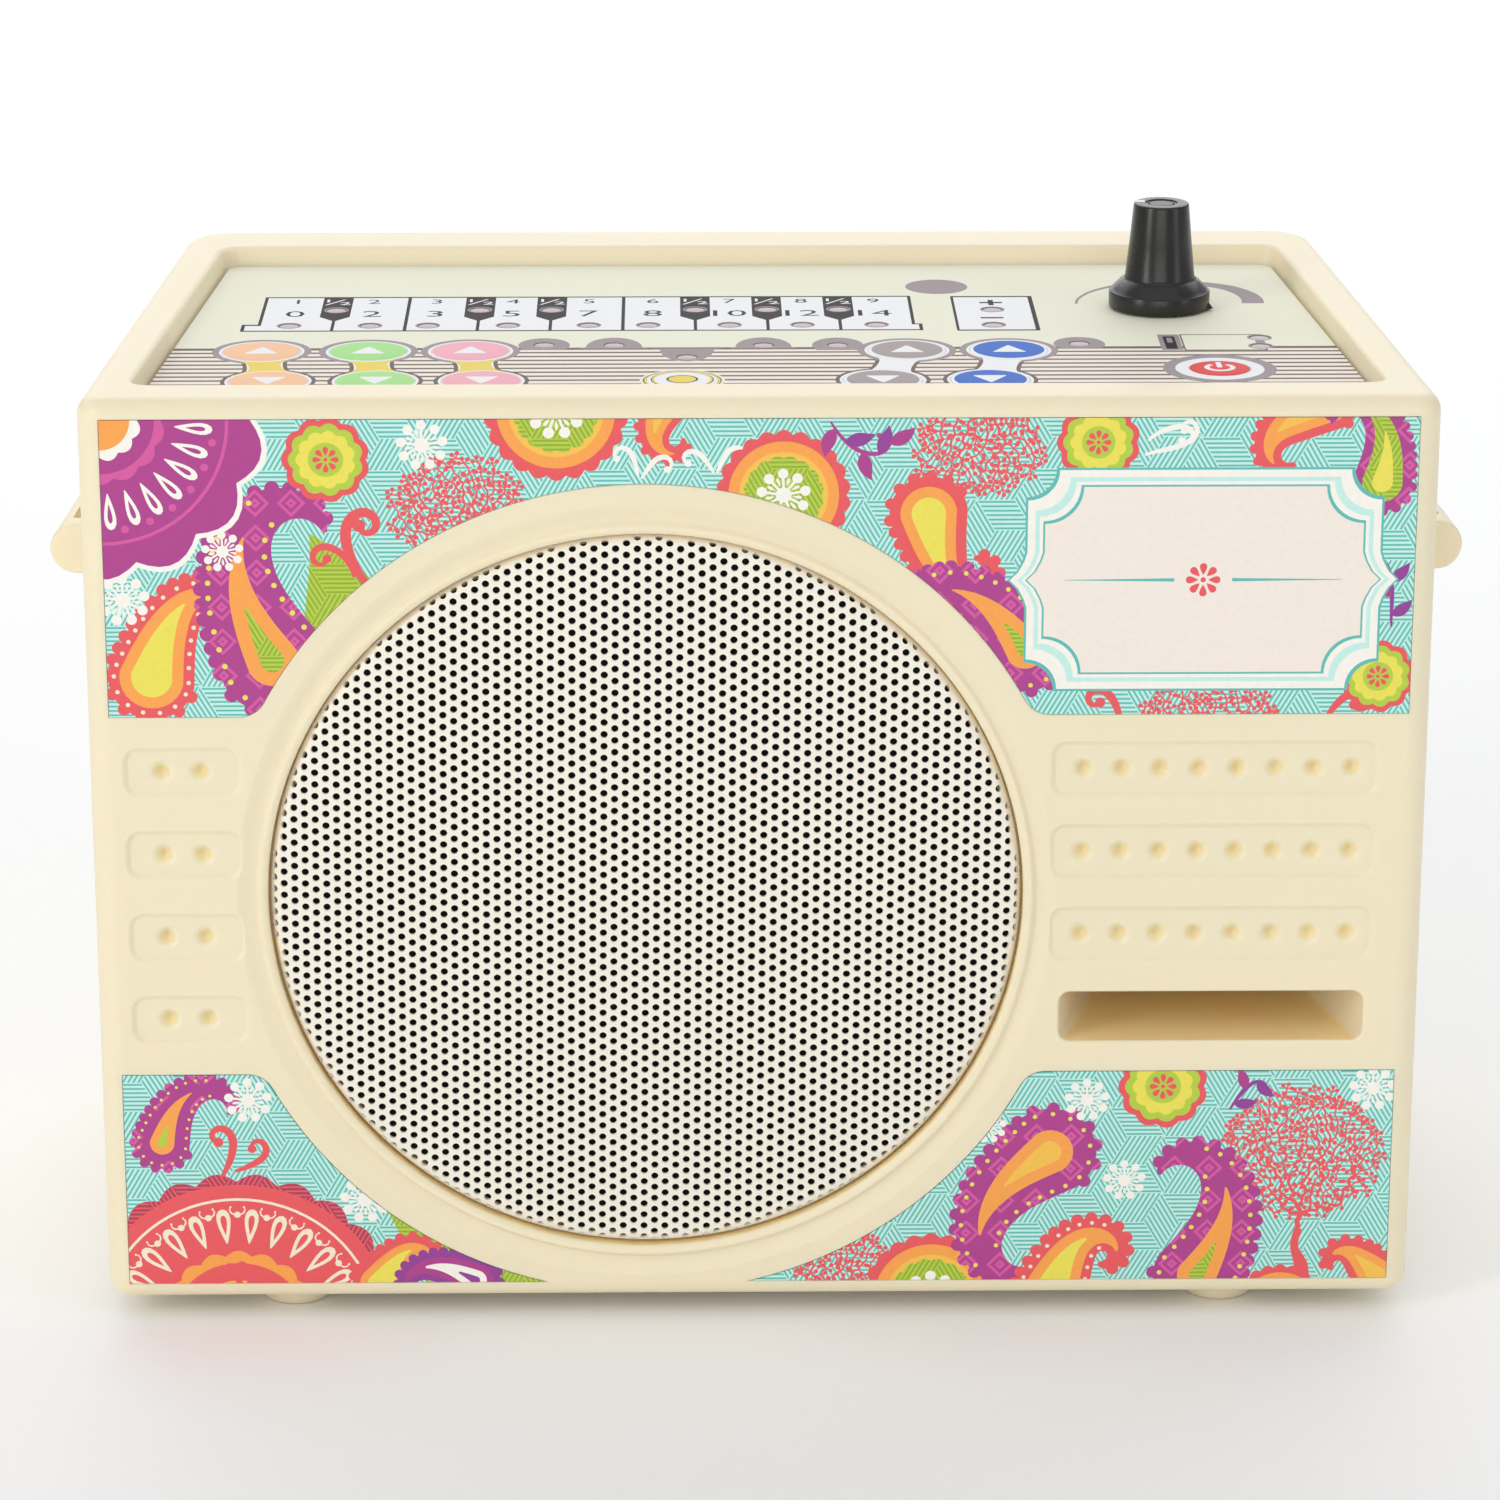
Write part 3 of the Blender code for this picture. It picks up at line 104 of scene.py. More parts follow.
# Printed fields, moulded bars and sound port
FIELD_HALF = 113.2
FIELD_DEPTH = 0.8
FIELD_ARC = 75.5
FIELD_CORNER = 5.0
UPPER_FIELD = (110.2, 163.6)
LOWER_FIELD = (3.2, 43.5)
LABEL_GAP = 0.08
LABEL_NEAR = 0.1
LABEL_FAR = 0.5
BAR_HEIGHTS = (100.1, 84.8, 69.4, 54.0)
BAR_DEPTH = 0.65
LEFT_BAR = (-110.7, -90.8, 8.4)
RIGHT_BAR = (51.3, 108.0, 9.7)
LEFT_DIMPLES = (-104.4, -97.6)
RIGHT_DIMPLES = tuple(56.6 + 6.72 * index for index in range(8))
PORT_X = 80.1
PORT_Z = 53.9
PORT_MOUTH = (54.0, 9.3)
PORT_THROAT = (36.0, 6.4)
PORT_LENGTH = 32.0
PORT_WALL = 2.2

# Keys: node's name, x, depth, radius
UP_ROW = 48.4
DOWN_ROW = 26.9
KEYS = (
    ("orange_up", -88.6, UP_ROW, 6.9), ("orange_down", -86.0, DOWN_ROW, 6.9),
    ("green_up", -69.5, UP_ROW, 6.9), ("green_down", -67.2, DOWN_ROW, 6.9),
    ("pink_up", -51.2, UP_ROW, 6.9), ("pink_down", -48.6, DOWN_ROW, 6.9),
    ("yellow", -13.3, DOWN_ROW, 6.2),
    ("grey_up", 27.1, UP_ROW, 6.9), ("grey_down", 22.0, DOWN_ROW, 6.9),
    ("blue_up", 45.4, UP_ROW, 6.9), ("blue_down", 40.9, DOWN_ROW, 6.9),
    ("power", 82.0, 34.4, 5.4),
)
KEY_PROUD = 0.25

# Keyboard drawing and lamps on the panel
KEYBOARD = (-90.3, 29.0, 64.2, 89.6)
WHITE_KEYS = 9
WHITE_PITCH = (KEYBOARD[1] - KEYBOARD[0]) / WHITE_KEYS
HALF_KEYS = (0, 2, 3, 5, 6, 7)
WHITE_LAMPS = (-1.3, 0.2, -2.5, -1.1, 0.4, -2.0, -0.4, -0.3, 0.0)
STATUS_LAMPS = ((-38.1, 53.1), (-25.5, 52.9), (-12.4, 43.9), (1.4, 52.6), (14.8, 52.5), (58.4, 53.2))
OCTAVE_LAMPS = ((44.2, 79.4), (43.8, 67.5))
BATTERY_LAMPS = ((91.4, 57.3), (91.0, 51.0))
STRIPE_START = 50.1
STRIPE_PITCH = 2.85
STRIPE_COUNT = 13
TONE_ARC = (77.2, 83.8)

# Tone control, rear cover, feet and strap lugs
KNOB_X = 75.2
KNOB_Y = 81.0
COVER_HALF = 94.0
COVER = (9.0, 152.0)
COVER_THICK = 2.5
COVER_SCREWS = ((-89.5, 13.5), (0.0, 13.5), (89.5, 13.5), (-89.5, 147.5), (0.0, 147.5), (89.5, 147.5))
FEET = (("foot_front_left", -84.0, 13.0), ("foot_front_right", 84.0, 13.0),
        ("foot_rear_left", -80.0, 116.0), ("foot_rear_right", 80.0, 116.0))
LUG_START = 27.0
LUG_LENGTH = 30.0
LUG_OUT = 10.0
LUG_THICK = 9.0
LUG_Z = 132.8
LUG_BASE = 1.5
LUG_SLOT = (21.0, 5.2)


def linear(code):
    """Linear RGB from an sRGB hex value."""
    values = [int(code[start:start + 2], 16) / 255 for start in (1, 3, 5)]
    return tuple(v / 12.92 if v <= 0.04045 else ((v + 0.055) / 1.055) ** 2.4 for v in values)


def length_property(name, description, default):
    """A length that a user may change."""
    return bpy.props.FloatProperty(name=name, description=description, default=default, min=0.0,
                                   unit="LENGTH", subtype="DISTANCE", precision=5)


def colour_property(name, description, code):
    """A colour that a user may change."""
    return bpy.props.FloatVectorProperty(name=name, description=description, default=linear(code), size=3,
                                         min=0.0, max=1.0, subtype="COLOR")


class TanpuraSizes(bpy.types.PropertyGroup):
    """Sizes of the fine forms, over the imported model's own sizes."""

    lip: length_property("Moulded lip", "Rounding of the edges around openings in the case", 0.0005)
    rim_lip: length_property("Panel rim", "Rounding of the rim around the control panel", 0.0009)
    ring_round: length_property("Speaker ring", "Rounding of the bead around the grille", 0.0012)
    dimple: length_property("Dimple radius", "Radius of the round dimples beside the grille", 0.0023)
    dimple_depth: length_property("Dimple depth", "Depth of the round dimples", 0.0014)
    hole: length_property("Grille hole", "Diameter of a hole in the grille", 0.00132)
    hole_pitch: length_property("Grille pitch", "Distance between holes in the grille", 0.00216)
    sheet: length_property("Grille sheet", "Thickness of the perforated sheet", 0.0005)
    roll: length_property("Rolled rim", "Radius of the grille's rolled rim", 0.0022)
    plain_rim: length_property("Plain rim", "Width of the rolled rim's edge without holes", 0.0006)
    lamp: length_property("Lamp diameter", "Diameter of a lamp's lens", 0.0037)
    key_gap: length_property("Key gap", "Gap between a key and the panel film", 0.00008)
    hatch_cell: length_property("Hatch cell", "Side of one hatched lozenge in the labels' print", 0.0064)
    hatch_line: length_property("Hatch line", "Width of one printed hatch line", 0.00034)
    diamond: length_property("Diamond", "Size of one diamond in the labels' print", 0.0062)
    diamond_line: length_property("Diamond line", "Width of one printed diamond line", 0.00075)


class TanpuraColours(bpy.types.PropertyGroup):
    """Colours of the plastics, prints and paints."""

    case: colour_property("Case", "Cream ABS of the case", "#F1E5C6")
    grille: colour_property("Grille", "Powder coat of the perforated sheet", "#F3EEE0")
    film: colour_property("Panel film", "Ground of the control panel's film", "#EFEEDA")
    knob: colour_property("Knob", "Black ABS of the tone knob", "#171614")
    lamp: colour_property("Lamp", "Tinted lens of a lamp", "#86606B")
    orange: colour_property("Orange keys", "Two of the soft keys", "#F9C69C")
    green: colour_property("Green keys", "Two of the soft keys", "#A9E38D")
    pink: colour_property("Pink keys", "Two of the soft keys", "#F5AFBC")
    yellow: colour_property("Yellow key", "The single round key", "#F2D553")
    grey: colour_property("Grey keys", "Two of the soft keys", "#A89B9B")
    blue: colour_property("Blue keys", "Two of the soft keys", "#2568CB")
    power: colour_property("Power key", "The red key", "#E5403F")
    mint: colour_property("Label mint", "Ground of the labels' print", "#C4EEE6")
    teal: colour_property("Label teal", "Hatching over the mint", "#5CBDB4")
    coral: colour_property("Label coral", "Coral ink", "#E9565B")
    magenta: colour_property("Label magenta", "Magenta ink", "#AE3A8C")


# Shapes


def place(x, depth, height):
    """A point of the frame, in metres."""
    return Vector((x * MM, CASE_LOW.y + depth * MM, CASE_LOW.z + height * MM))


def side_x(depth):
    """Half the case's width at a depth."""
    return (WIDTH_FRONT + (WIDTH_REAR - WIDTH_FRONT) * depth / DEPTH) / 2


def arc(centre, radius, start, end, steps):
    """Points along an arc, with angles in degrees."""
    turns = [math.radians(start + (end - start) * step / steps) for step in range(steps + 1)]
    return [(centre[0] + radius * math.cos(turn), centre[1] + radius * math.sin(turn)) for turn in turns]


def circle(x, y, radius, steps=32):
    """A round outline."""
    return arc((x, y), radius, 0.0, 360.0, steps)[:-1]


def rounded(corners, radii, steps=8):
    """A closed outline through corners, each rounded by its radius."""
    outline = []
    for index, corner in enumerate(corners):
        point = Vector(corner)
        before = (Vector(corners[index - 1]) - point).normalized()
        after = (Vector(corners[(index + 1) % len(corners)]) - point).normalized()
        half = before.angle(after) / 2
        centre = point + (before + after).normalized() * radii[index] / math.sin(half)
        first = point + before * radii[index] / math.tan(half) - centre
        last = point + after * radii[index] / math.tan(half) - centre
        turn = first.angle_signed(last)
        for step in range(steps + 1):
            spoke = first.copy()
            spoke.rotate(Matrix.Rotation(-turn * step / steps, 2))
            outline.append(tuple(centre + spoke))
    return outline


def rectangle(width, height, radius, centre=(0.0, 0.0), steps=8):
    """A rounded rectangle."""
    left, right = centre[0] - width / 2, centre[0] + width / 2
    low, high = centre[1] - height / 2, centre[1] + height / 2
    return rounded([(left, low), (right, low), (right, high), (left, high)], [radius] * 4, steps)


def curve_through(points, steps=6):
    """A smooth path through a few points."""
    path = []
    ends = [Vector(point) for point in points]
    for index in range(len(ends) - 1):
        before, after = ends[max(index - 1, 0)], ends[min(index + 2, len(ends) - 1)]
        first, last = ends[index], ends[index + 1]
        for step in range(steps):
            t = step / steps
            path.append(0.5 * (2 * first + (last - before) * t + (2 * before - 5 * first + 4 * last - after) * t * t
                               + (3 * first - before - 3 * last + after) * t * t * t))
    return path + [ends[-1]]


def stroke(path, widths):
    """The outline of a drawn stroke, as wide at each share of its path as widths gives."""
    left, right = [], []
    last = len(path) - 1
    for index, point in enumerate(path):
        along = (Vector(path[min(index + 1, last)]) - Vector(path[max(index - 1, 0)])).normalized()
        half = max(widths(index / last), 0.02) / 2
        left.append((point[0] - along.y * half, point[1] + along.x * half))
        right.append((point[0] + along.y * half, point[1] - along.x * half))
    return left + right[::-1]


def case_outline(inset, front, rear, corner_front, corner_rear, steps=8):
    """The case seen from above."""
    corners = [(-side_x(front) + inset, front), (side_x(front) - inset, front),
               (side_x(rear) - inset, rear), (-side_x(rear) + inset, rear)]
    return rounded(corners, [corner_front, corner_front, corner_rear, corner_rear], steps)


def panel_outline(inset, corner=PANEL_CORNER, steps=8):
    """The control panel seen from above."""
    front, rear = PANEL_FRONT + inset, PANEL_REAR - inset
    corners = [(-PANEL_HALF_FRONT + inset, front), (PANEL_HALF_FRONT - inset, front),
               (PANEL_HALF_REAR - inset, rear), (-PANEL_HALF_REAR + inset, rear)]
    return rounded(corners, [corner] * 4, steps)


def arc_corner(height, inner, side, shrink):
    """The fillet between a level edge and the arc around the grille: its centre and far angle."""
    rise = height + inner * (FIELD_CORNER - shrink) - SPEAKER_Z
    reach = FIELD_ARC + FIELD_CORNER
    run = math.sqrt(reach * reach - rise * rise)
    centre = (SPEAKER_X + side * run, SPEAKER_Z + rise)
    return centre, math.degrees(math.atan2(-rise, -side * run))


def upper_field(shrink):
    """Outline of the printed band above the grille, x and height."""
    low, high = UPPER_FIELD[0] + shrink, UPPER_FIELD[1] - shrink
    half = FIELD_HALF - shrink
    round_by = FIELD_CORNER - shrink
    left, left_angle = arc_corner(low, 1, -1, shrink)
    right, right_angle = arc_corner(low, 1, 1, shrink)
    start = math.degrees(math.atan2(right[1] - SPEAKER_Z, right[0] - SPEAKER_X))
    outline = [(half, low), (half, high), (-half, high), (-half, low)]
    outline += arc(left, round_by, -90.0, left_angle, 8)
    outline += arc((SPEAKER_X, SPEAKER_Z), FIELD_ARC + shrink, 180.0 - start, start, 64)[1:-1]
    return outline + arc(right, round_by, right_angle, -90.0, 8)


def lower_field(side, shrink):
    """Outline of the printed corner below the grille on one side, x and height."""
    low, high = LOWER_FIELD[0] + shrink, LOWER_FIELD[1] - shrink
    centre, towards = arc_corner(high, -1, side, shrink)
    tip = math.degrees(math.asin((SPEAKER_Z - low) / (FIELD_ARC + shrink)))
    meet = math.degrees(math.asin((SPEAKER_Z - centre[1]) / (FIELD_ARC + FIELD_CORNER)))
    outline = [(side * (FIELD_HALF - shrink), high)]
    turn = towards if side > 0 else 180.0 - towards
    fillet = arc((0.0, 0.0), FIELD_CORNER - shrink, 90.0, turn % 360.0, 8)
    outline += [(centre[0] + side * x, centre[1] + z) for x, z in fillet]
    sweep = arc((0.0, 0.0), FIELD_ARC + shrink, -meet, -tip, 32)
    outline += [(SPEAKER_X + side * x, SPEAKER_Z + z) for x, z in sweep[1:]]
    return outline + [(side * (FIELD_HALF - shrink), low)]


# Meshes


def mesh_object(name, points, faces, materials=(), indices=None, angle=32.0, weld=False):
    """An object from points and faces, shaded smooth up to an angle."""
    mesh = bpy.data.meshes.new(name)
    mesh.from_pydata(points, [], faces)
    for finish in materials:
        mesh.materials.append(finish)
    if indices is not None:
        mesh.polygons.foreach_set("material_index", indices)
    if weld:
        work = bmesh.new()
        work.from_mesh(mesh)
        bmesh.ops.remove_doubles(work, verts=work.verts, dist=0.001 * MM)
        bmesh.ops.recalc_face_normals(work, faces=work.faces)
        work.to_mesh(mesh)
        work.free()
    mesh.validate()
    mesh.shade_smooth()
    mesh.set_sharp_from_angle(angle=math.radians(angle))
    obj = bpy.data.objects.new(name, mesh)
    bpy.context.scene.collection.objects.link(obj)
    return obj


def loft(name, rings, materials=(), angle=32.0):
    """A closed solid through rings that all have the same number of points."""
    count = len(rings[0])
    points = [point for ring in rings for point in ring]
    faces = [tuple(range(count)), tuple(range(len(points) - count, len(points)))]
    for level in range(len(rings) - 1):
        base = level * count
        for index in range(count):
            following = (index + 1) % count
            faces.append((base + index, base + following, base + count + following, base + count + index))
    return mesh_object(name, points, faces, materials, angle=angle, weld=True)


def turned(name, profile, centre, segments=64, materials=(), facing="up", closed=False, angle=32.0):
    """A turned solid. The profile is radius and distance out along its axis, which faces up or front."""
    points, faces, starts = [], [], []
    for radius, out in profile:
        starts.append((len(points), 1 if radius < 1e-6 else segments))
        for index in range(starts[-1][1]):
            turn = math.tau * index / segments
            across, along = radius * math.cos(turn), radius * math.sin(turn)
            if facing == "up":
                points.append(place(centre[0] + across, centre[1] + along, centre[2] + out))
            else:
                points.append(place(centre[0] + across, centre[1] - out, centre[2] + along))
    pairs = list(zip(starts, starts[1:])) + ([(starts[-1], starts[0])] if closed else [])
    for (first, first_count), (last, last_count) in pairs:
        for index in range(segments):
            following = (index + 1) % segments
            corners = [first + index % first_count, first + following % first_count,
                       last + following % last_count, last + index % last_count]
            corner_set = list(dict.fromkeys(corners))
            if len(corner_set) > 2:
                faces.append(tuple(corner_set))
    return mesh_object(name, points, faces, materials, angle=angle, weld=True)


def level_rings(steps):
    """Rings of (outline, height) lying flat, one above the other."""
    return [[place(x, depth, height) for x, depth in outline] for outline, height in steps]


def upright_rings(steps):
    """Rings of (outline, depth) facing the front, one behind the other."""
    return [[place(x, depth, height) for x, height in outline] for outline, depth in steps]


def pocket(lip, floor, cove=0.0, steps=5):
    """Depth and growth of the rings of a cutter that leaves a rounded lip and a soft floor edge."""
    rings = [(-2.0, lip)]
    for step in range(steps + 1):
        turn = math.pi / 2 * step / steps
        rings.append((lip * (1 - math.cos(turn)) - 0.01, lip * (1 - math.sin(turn))))
    for step in range(1, steps + 1):
        turn = math.pi / 2 * step / steps
        if cove > 0.0:
            rings.append((floor - cove * (1 - math.sin(turn)), -cove * (1 - math.cos(turn))))
    if cove == 0.0:
        rings.append((floor, 0.0))
    return rings


def joined(name, objects):
    """One object from several, keeping their material slots."""
    mesh = bpy.data.meshes.new(name)
    work = bmesh.new()
    materials = []
    for obj in objects:
        start = len(work.faces)
        work.from_mesh(obj.data)
        work.faces.ensure_lookup_table()
        for face in work.faces[start:]:
            finish = obj.data.materials[face.material_index] if obj.data.materials else None
            if finish is not None and finish not in materials:
                materials.append(finish)
            face.material_index = materials.index(finish) if finish is not None else 0
    work.to_mesh(mesh)
    work.free()
    for finish in materials:
        mesh.materials.append(finish)
    for obj in objects:
        old = obj.data
        bpy.data.objects.remove(obj, do_unlink=True)
        bpy.data.meshes.remove(old)
    made = bpy.data.objects.new(name, mesh)
    bpy.context.scene.collection.objects.link(made)
    return made


def carve(obj, tools, angle=32.0):
    """Cuts an object with tools or adds them to it one by one, then evens its normals."""
    for tool, operation in tools:
        modifier = obj.modifiers.new(tool.name, "BOOLEAN")
        modifier.operation = operation
        modifier.solver = "EXACT"
        modifier.object = tool
        settle(obj)
        work = bmesh.new()
        work.from_mesh(obj.data)
        bmesh.ops.remove_doubles(work, verts=work.verts, dist=0.0008 * MM)
        bmesh.ops.dissolve_degenerate(work, edges=work.edges, dist=0.0008 * MM)
        work.to_mesh(obj.data)
        work.free()
        old = tool.data
        bpy.data.objects.remove(tool, do_unlink=True)
        bpy.data.meshes.remove(old)
    obj.data.shade_smooth()
    obj.data.set_sharp_from_angle(angle=math.radians(angle))
    weigh(obj)


def settle(obj):
    """Applies an object's modifiers to its mesh."""
    bpy.context.view_layer.update()
    graph = bpy.context.evaluated_depsgraph_get()
    mesh = bpy.data.meshes.new_from_object(obj.evaluated_get(graph))
    old = obj.data
    obj.modifiers.clear()
    obj.data = mesh
    bpy.data.meshes.remove(old)


def weigh(obj):
    """Lets large flat faces keep their normals, so that only the rounded edges catch the light."""
    modifier = obj.modifiers.new("Weighted", "WEIGHTED_NORMAL")
    modifier.mode = "FACE_AREA"
    modifier.keep_sharp = True
    settle(obj)


def drawing(outline, art, lines=()):
    """Cuts an outline into triangles along painted shapes, later ones on top.

    The art is (ink, shape). A triangle inside one of the lines takes its ink's second tone.
    """
    points, faces = [], []
    for shape in [outline] + [shape for _, shape in art] + [shape for _, shape in lines]:
        area = sum(a[0] * b[1] - b[0] * a[1] for a, b in zip(shape, shape[1:] + shape[:1]))
        ring = shape if area > 0 else shape[::-1]
        faces.append(list(range(len(points), len(points) + len(ring))))
        points += [Vector((point[0], point[1])) for point in ring]
    cut = delaunay_2d_cdt(points, [], faces, 1, 1e-5, True)
    triangles, inks = [], []
    for triangle, owners in zip(cut[2], cut[5]):
        if 0 not in owners:
            continue
        painted = [owner for owner in owners if 0 < owner <= len(art)]
        ink = art[max(painted) - 1][0] if painted else "ground"
        kinds = {lines[owner - len(art) - 1][0] for owner in owners if owner > len(art)}
        if ink == "hole":
            continue
        triangles.append(tuple(triangle))
        inks.append((ink, kinds))
    used = sorted({index for triangle in triangles for index in triangle})
    order = {old: new for new, old in enumerate(used)}
    triangles = [tuple(order[index] for index in triangle) for triangle in triangles]
    return [tuple(cut[0][index]) for index in used], triangles, inks


def slab(name, points, triangles, inks, near, far, materials, angle=32.0):
    """A solid from a flat drawing: near and far place its front and its back."""
    count = len(points)
    places = [near(*point) for point in points] + [far(*point) for point in points]
    faces, indices, sides = [], [], {}
    for (a, b, c), ink in zip(triangles, inks):
        faces += [(a, b, c), (count + c, count + b, count + a)]
        indices += [ink, ink]
        for edge in ((a, b), (b, c), (c, a)):
            sides[edge] = ink
    for (a, b), ink in sides.items():
        if (b, a) not in sides:
            faces.append((b, a, count + a, count + b))
            indices.append(ink)
    return mesh_object(name, places, faces, materials, indices, angle)


def numeral(text, x, y, height, stretch=1.0):
    """The filled triangles of a number, its middle at x and y."""
    curve = bpy.data.curves.new("numeral", "FONT")
    curve.body = text
    curve.size = height * 1.4
    curve.resolution_u = 2
    drawn = bpy.data.objects.new("numeral", curve)
    bpy.context.scene.collection.objects.link(drawn)
    bpy.context.view_layer.update()
    mesh = bpy.data.meshes.new_from_object(drawn.evaluated_get(bpy.context.evaluated_depsgraph_get()))
    low = [min(vertex.co[axis] for vertex in mesh.vertices) for axis in (0, 1)]
    high = [max(vertex.co[axis] for vertex in mesh.vertices) for axis in (0, 1)]
    middle = ((low[0] + high[0]) / 2, (low[1] + high[1]) / 2)
    shapes = []
    for polygon in mesh.polygons:
        if polygon.area < 0.001:
            continue
        corners = [mesh.vertices[index].co for index in polygon.vertices]
        shapes.append([(x + (co.x - middle[0]) * stretch, y + co.y - middle[1]) for co in corners])
    bpy.data.objects.remove(drawn, do_unlink=True)
    bpy.data.curves.remove(curve)
    bpy.data.meshes.remove(mesh)
    return shapes


def keep(piece, body, slot, *nodes):
    """Lets a piece ride on its body, in place of its nodes. The slot is not used."""
    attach(piece, body)
    if nodes:
        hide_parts(*nodes)


# Materials


def add_node(tree, kind, inputs, **settings):
    """Adds a node, makes its settings and fills or links its inputs."""
    made = tree.nodes.new(kind)
    for key, value in settings.items():
        setattr(made, key, value)
    for key, value in inputs.items():
        if isinstance(value, bpy.types.NodeSocket):
            tree.links.new(value, made.inputs[key])
        else:
            made.inputs[key].default_value = value
    return made


def surface(name, colour, drift=0.06, mottle=12.0, grain=0.3, rise=0.01, roughness=0.45, spread=0.06, **constants):
    """A Principled material with a colour that drifts a little, over a grain of a real size in mm.

    The mottle is the drift's size, the grain and rise are the width and height of the surface's own
    relief, and the constants go straight on the shader's sockets.
    """
    made = bpy.data.materials.new(name)
    made.use_nodes = True
    made.diffuse_color = (*colour, 1.0)
    tree = made.node_tree
    shader = tree.nodes["Principled BSDF"]
    for key, value in constants.items():
        shader.inputs[key.replace("_", " ")].default_value = value
    spot = add_node(tree, "ShaderNodeTexCoord", {}).outputs["Object"]
    cloud = add_node(tree, "ShaderNodeTexNoise", {"Vector": spot, "Scale": 1.0 / (mottle * MM), "Detail": 4.0})
    dark = tuple(value * (1.0 - drift) ** 2 for value in colour)
    light = tuple(min(value * (1.0 + drift), 1.0) for value in colour)
    tint = add_node(tree, "ShaderNodeMix", {0: cloud.outputs["Fac"], 6: (*dark, 1.0), 7: (*light, 1.0)},
                    data_type="RGBA")
    relief = add_node(tree, "ShaderNodeTexNoise", {"Vector": spot, "Scale": 1.0 / (grain * MM), "Detail": 2.0})
    gloss = add_node(tree, "ShaderNodeMapRange", {"Value": relief.outputs["Fac"], "To Min": roughness - spread,
                                                  "To Max": roughness + spread})
    bump = add_node(tree, "ShaderNodeBump", {"Height": relief.outputs["Fac"], "Strength": 1.0,
                                             "Distance": rise * MM})
    tree.links.new(tint.outputs[2], shader.inputs["Base Color"])
    tree.links.new(gloss.outputs["Result"], shader.inputs["Roughness"])
    tree.links.new(bump.outputs["Normal"], shader.inputs["Normal"])
    return made


made_materials = {}


